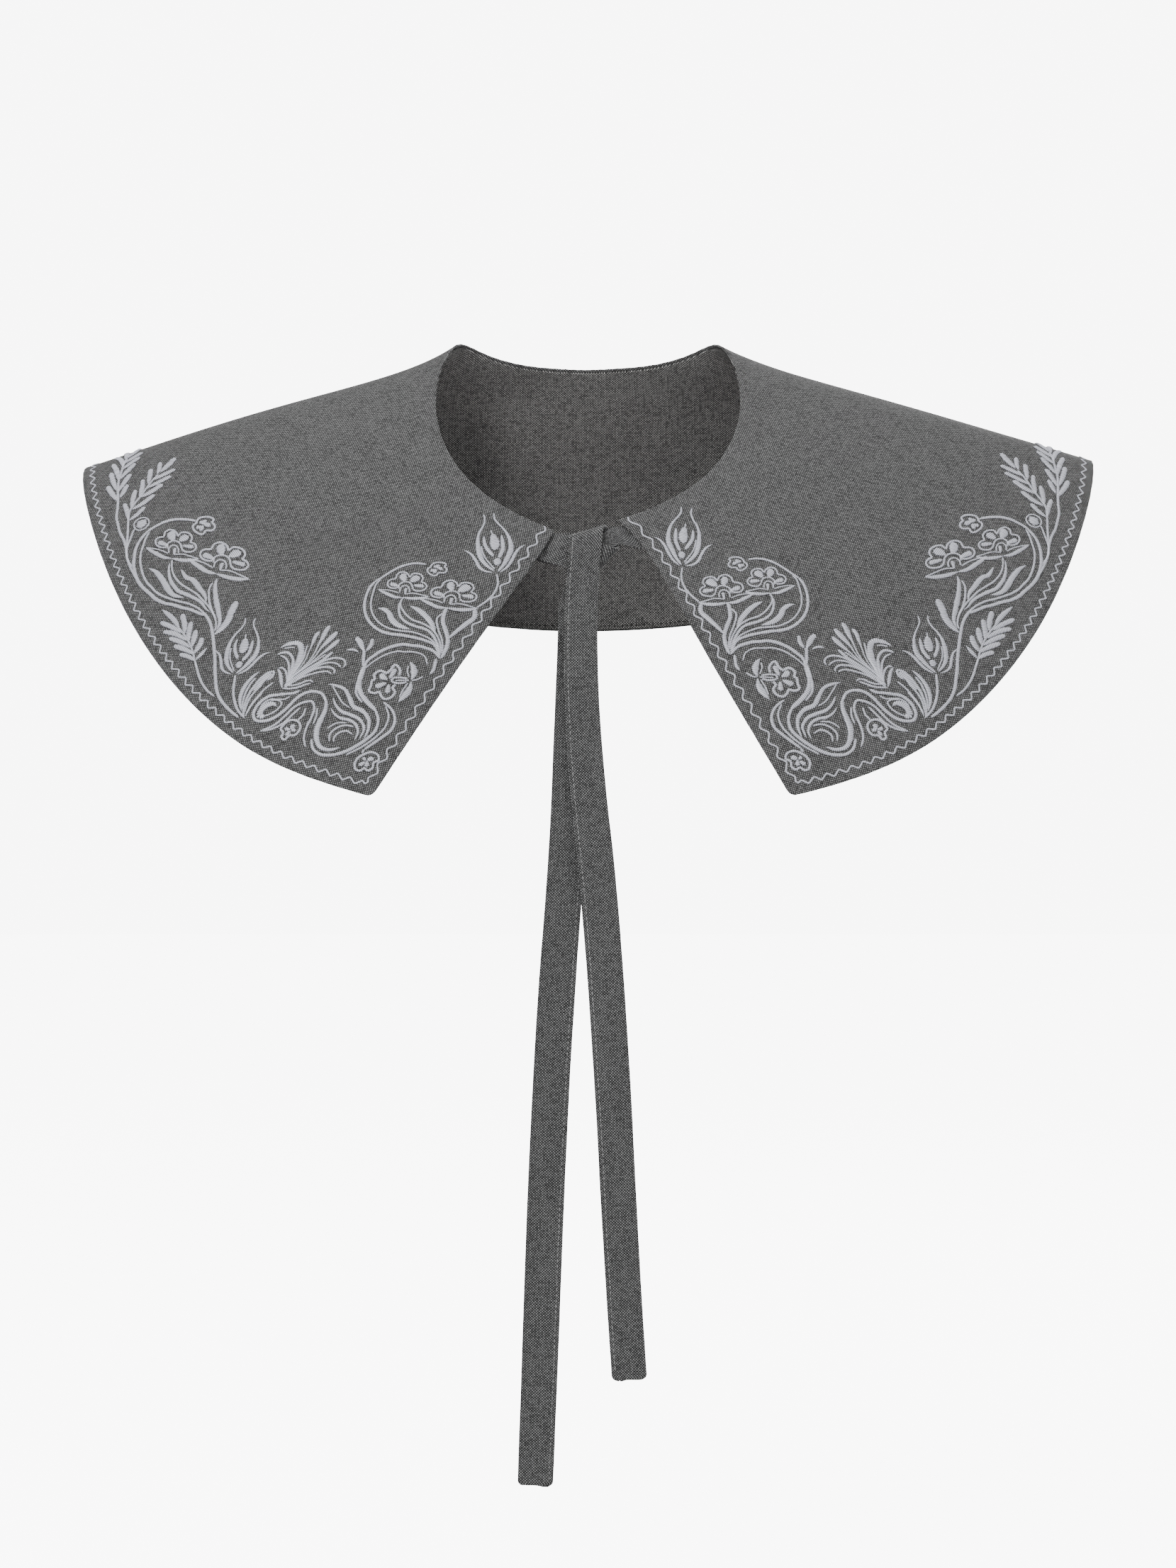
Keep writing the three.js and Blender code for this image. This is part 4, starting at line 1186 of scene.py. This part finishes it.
class Wiring:
    """Adds nodes to a tree in plain steps."""

    def __init__(self, tree):
        self.tree = tree

    def node(self, kind, **settings):
        node = self.tree.nodes.new(kind)
        for key, value in settings.items():
            setattr(node, key, value)
        return node

    def join(self, source, target):
        self.tree.links.new(source, target)

    def math(self, operation, a, b=0.0, clamp=False):
        node = self.node("ShaderNodeMath", operation=operation, use_clamp=clamp)
        for socket, value in zip(node.inputs, (a, b)):
            if isinstance(value, (int, float)):
                socket.default_value = value
            else:
                self.join(value, socket)
        return node.outputs[0]

    def add(self, a, b):
        return self.math("ADD", a, b)

    def subtract(self, a, b):
        return self.math("SUBTRACT", a, b)

    def multiply(self, a, b):
        return self.math("MULTIPLY", a, b)

    def blend(self, factor, low, high):
        """A colour between two."""
        node = self.node("ShaderNodeMix", data_type="RGBA")
        node.inputs[6].default_value, node.inputs[7].default_value = (*low, 1), (*high, 1)
        self.join(factor, node.inputs[0])
        return node.outputs[2]

    def mix_shaders(self, factor, first, second):
        node = self.node("ShaderNodeMixShader")
        for source, socket in zip((factor, first, second), node.inputs):
            self.join(source, socket)
        return node.outputs[0]


def set_values(node, values):
    for name, value in values.items():
        node.inputs[name].default_value = value


def new_material(name):
    material = bpy.data.materials.new(name)
    material.use_nodes = True
    return material, Wiring(material.node_tree), material.node_tree.nodes["Principled BSDF"]


def weave_group():
    """Plain weave on the cut: two sets of yarns that pass over and under, uneven in width and tone."""
    tree = bpy.data.node_groups.new("plain_weave", "ShaderNodeTree")
    face = tree.interface
    face.new_socket("Cut", in_out="INPUT", socket_type="NodeSocketVector")
    face.new_socket("Yarns per metre", in_out="INPUT", socket_type="NodeSocketFloat")
    face.new_socket("Tone", in_out="OUTPUT", socket_type="NodeSocketFloat")
    face.new_socket("Height", in_out="OUTPUT", socket_type="NodeSocketFloat")
    w = Wiring(tree)
    given, result = w.node("NodeGroupInput"), w.node("NodeGroupOutput")
    count = given.outputs["Yarns per metre"]
    drift = w.node("ShaderNodeTexNoise")
    set_values(drift, {"Scale": 70, "Detail": 2})
    w.join(given.outputs["Cut"], drift.inputs["Vector"])
    parts = w.node("ShaderNodeSeparateXYZ")
    w.join(given.outputs["Cut"], parts.inputs[0])
    drift_parts = w.node("ShaderNodeSeparateColor")
    w.join(drift.outputs["Color"], drift_parts.inputs[0])
    axes = []
    for k in (0, 1):
        plain = w.multiply(parts.outputs[k], count)
        axes.append(w.add(plain, w.multiply(drift_parts.outputs[k], 1.6)))
    waves = [w.math("SINE", w.multiply(axis, math.pi)) for axis in axes]
    cells = [w.math("FLOOR", axis) for axis in axes]
    odd = [w.math("FLOORED_MODULO", cell, 2.0) for cell in cells]
    signs = [w.subtract(1.0, w.multiply(one, 2.0)) for one in odd]
    warp_up = w.add(0.5, w.multiply(w.multiply(waves[1], signs[0]), 0.5))
    weft_up = w.subtract(0.5, w.multiply(w.multiply(waves[0], signs[1]), 0.5))
    warp = w.multiply(w.math("ABSOLUTE", waves[0]), warp_up)
    weft = w.multiply(w.math("ABSOLUTE", waves[1]), weft_up)
    height = w.math("MAXIMUM", warp, weft)
    shown = w.math("MAXIMUM", warp, w.multiply(weft, 0.4))
    streaks = []
    for k in (0, 1):
        yarn_place = w.node("ShaderNodeCombineXYZ")
        w.join(w.multiply(cells[k], 5.37), yarn_place.inputs[0])
        w.join(w.multiply(axes[1 - k], 0.05), yarn_place.inputs[1])
        yarn_place.inputs[2].default_value = 3.7 * k
        streak = w.node("ShaderNodeTexNoise")
        set_values(streak, {"Scale": 1.0, "Detail": 1})
        w.join(yarn_place.outputs[0], streak.inputs["Vector"])
        streaks.append(streak.outputs["Fac"])
    over = w.math("GREATER_THAN", warp, weft)
    pick_streak = w.node("ShaderNodeMix", data_type="FLOAT")
    w.join(over, pick_streak.inputs[0])
    w.join(streaks[1], pick_streak.inputs[2])
    w.join(streaks[0], pick_streak.inputs[3])
    yarn = w.multiply(w.subtract(pick_streak.outputs[0], 0.5), 0.45)
    crossing = w.node("ShaderNodeCombineXYZ")
    w.join(w.math("FLOOR", w.multiply(axes[0], 0.5)), crossing.inputs[0])
    w.join(cells[1], crossing.inputs[1])
    speck = w.node("ShaderNodeTexWhiteNoise")
    w.join(crossing.outputs[0], speck.inputs["Vector"])
    fleck = w.multiply(w.subtract(speck.outputs["Value"], 0.5), 1.5)
    cloud = w.multiply(w.subtract(drift.outputs["Fac"], 0.5), 0.05)
    body = w.multiply(w.math("POWER", shown, 2.4), w.add(1.5, w.add(fleck, yarn)))
    tone = w.add(body, w.add(w.multiply(yarn, 0.3), cloud))
    w.join(tone, result.inputs["Tone"])
    w.join(w.add(height, w.multiply(yarn, 0.25)), result.inputs["Height"])
    return tree


def linen(name, light):
    """The weave between the dark of its gaps and the light of its yarns."""
    material, w, shader = new_material(name)
    cut = w.node("ShaderNodeUVMap", uv_map="Cut")
    weave = w.node("ShaderNodeGroup")
    weave.node_tree = WEAVE
    weave.inputs["Yarns per metre"].default_value = YARNS_PER_METRE
    w.join(cut.outputs[0], weave.inputs["Cut"])
    tone = w.math("MULTIPLY", weave.outputs["Tone"], 1.0, clamp=True)
    w.join(w.blend(tone, NEAR_BLACK, light), shader.inputs["Base Color"])
    set_values(shader, {
        "Roughness": 0.88, "Specular IOR Level": 0.25, "Sheen Weight": 0.12, "Sheen Roughness": 0.5,
    })
    bump = w.node("ShaderNodeBump")
    set_values(bump, {"Strength": 0.7, "Distance": 0.12 * MM})
    w.join(weave.outputs["Height"], bump.inputs["Height"])
    w.join(bump.outputs[0], shader.inputs["Normal"])
    return material


def thread(name, between, lit):
    """Satin thread: each stitch catches the light in its own colour, and the gap beside it is darker by
    painted shade, a near-black colour blended in by the lit mask.
    """
    material, w, shader = new_material(name)
    # Where lit is low the colour is painted shade: the gaps between stitches and the dark line round each
    # line of satin.
    painted_shade_mask = w.node("ShaderNodeAttribute", attribute_name="lit")
    w.join(w.blend(painted_shade_mask.outputs["Fac"], between, lit), shader.inputs["Base Color"])
    set_values(shader, {"Roughness": 0.38, "Specular IOR Level": 0.5, "Sheen Weight": 0.15})
    return material


def dress(obj, material):
    obj.data.materials.clear()
    obj.data.materials.append(material)
    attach(obj, "root")


YARNS_PER_METRE = 1640
NEAR_BLACK = (0.003, 0.003, 0.003)
WEAVE = weave_group()
LINEN = linen("linen", (0.315, 0.316, 0.316))
# The facing is the same linen as the top cloth. Its lighter colour is painted light, offsetting the shade it
# lies in inside the back.
FACING_LINEN_PAINTED_LIGHT = linen("facing_linen", (0.46, 0.452, 0.441))
TIE_LINEN = linen("tie_linen", (0.325, 0.327, 0.328))
# THREAD's first colour is painted shade, near black, for the gaps between stitches and the line round each
# satin line. The second is the thread's own colour.
THREAD = thread("thread", (0.03, 0.031, 0.036), (0.77, 0.78, 0.87))
TIE_THREAD = thread("tie_thread", (0.02, 0.02, 0.02), (0.2, 0.2, 0.2))
HEM_THREAD = thread("hem_thread", NEAR_BLACK, (0.006, 0.006, 0.006))

cloth = collar_layer("linen_collar", 0, CLOTH, 0, 0.42)
dress(cloth, LINEN)
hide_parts("top_collar")
facing = collar_layer("linen_facing", CLOTH + LAYER_GAP, CLOTH, FACING_INSET, 0.4)
dress(facing, FACING_LINEN_PAINTED_LIGHT)
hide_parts("collar_facing")

front_tie = tie("front_tie", left_tie_stations(), -1)
dress(front_tie, TIE_LINEN)
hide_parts("left_tie")
back_tie = tie("back_tie", right_tie_stations(), 1)
dress(back_tie, TIE_LINEN)
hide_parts("right_tie")

lines = panel_lines()
left_panel = stitched("left_embroidery", lines, chart_to_flat)
right_panel = stitched("right_embroidery", lines, chart_to_flat, mirrored=True)
left_border = border("left_border", False)
right_border = border("right_border", True)
for piece in (left_panel, right_panel, left_border, right_border):
    dress(piece, THREAD)
front_row = tie_stitches("front_tie_stitches", left_tie_stations(), -1)
back_row = tie_stitches("back_tie_stitches", right_tie_stations(), 1)
hem_row = understitches("hem_understitches")
for piece in (front_row, back_row):
    dress(piece, TIE_THREAD)
dress(hem_row, HEM_THREAD)

# Stage, light and camera

EYE_DISTANCE, EYE_ELEVATION, EYE_AIM = 3.0, 2.0, -0.203
FLOOR_SIZE, FLOOR_HEIGHT = 12, -0.62
WHITE_SEEN, WORLD_LIGHT = 8, 0.4


def floor():
    """A pale floor that hides nothing from below."""
    bpy.ops.mesh.primitive_plane_add(size=FLOOR_SIZE, location=(0, 0, FLOOR_HEIGHT))
    obj = bpy.context.object
    obj.name = "floor"
    material, w, shader = new_material("floor_white")
    set_values(shader, {
        "Base Color": (0.95, 0.95, 0.95, 1), "Roughness": 1.0,
        "Emission Color": (1, 1, 1, 1), "Emission Strength": WHITE_SEEN,
    })
    from_behind = w.node("ShaderNodeNewGeometry").outputs["Backfacing"]
    clear = w.node("ShaderNodeBsdfTransparent").outputs[0]
    shown = w.mix_shaders(from_behind, shader.outputs[0], clear)
    w.join(shown, material.node_tree.nodes["Material Output"].inputs[0])
    obj.data.materials.append(material)
    obj.visible_diffuse = obj.visible_glossy = obj.visible_shadow = False


def studio_world():
    """Even light from all round, seen by the camera as the photo's white."""
    world = bpy.data.worlds.new("studio")
    bpy.context.scene.world = world
    world.use_nodes = True
    w = Wiring(world.node_tree)
    light = world.node_tree.nodes["Background"]
    seen = w.node("ShaderNodeBackground")
    for background, strength in ((light, WORLD_LIGHT), (seen, WHITE_SEEN)):
        background.inputs[0].default_value = (1, 1, 1, 1)
        background.inputs[1].default_value = strength
    to_camera = w.node("ShaderNodeLightPath").outputs["Is Camera Ray"]
    shown = w.mix_shaders(to_camera, light.outputs[0], seen.outputs[0])
    w.join(shown, world.node_tree.nodes["World Output"].inputs[0])


def soft_light(name, place, size, power, aim=(0, 0, -0.15)):
    light = bpy.data.lights.new(name, "AREA")
    light.shape, light.size, light.size_y, light.energy = "RECTANGLE", size[0], size[1], power
    obj = place_in_scene(name, light)
    obj.location = place
    obj.rotation_euler = (Vector(aim) - Vector(place)).to_track_quat("-Z", "Y").to_euler()


floor()
soft_light("key_light", (-1.1, -2.2, 1.5), (0.9, 0.9), 74)
soft_light("fill_light", (1.6, -2.2, 0.5), (1.6, 1.6), 16)
soft_light("low_light", (0.3, -2.3, -0.7), (1.4, 0.8), 11)
soft_light("back_light", (0.9, 2.3, 0.9), (1.8, 1.4), 26)
soft_light("top_light", (0, -0.2, 2.2), (2.0, 1.6), 24)
studio_world()

lens = bpy.data.cameras.new("camera")
lens.lens, lens.sensor_width, lens.clip_end = 150, 36, 50
camera = place_in_scene("camera", lens)
tip = math.radians(EYE_ELEVATION)
camera.location = (0, -EYE_DISTANCE * math.cos(tip), EYE_AIM + EYE_DISTANCE * math.sin(tip))
camera.rotation_euler = (math.radians(90 - EYE_ELEVATION), 0, 0)
bpy.context.scene.camera = camera
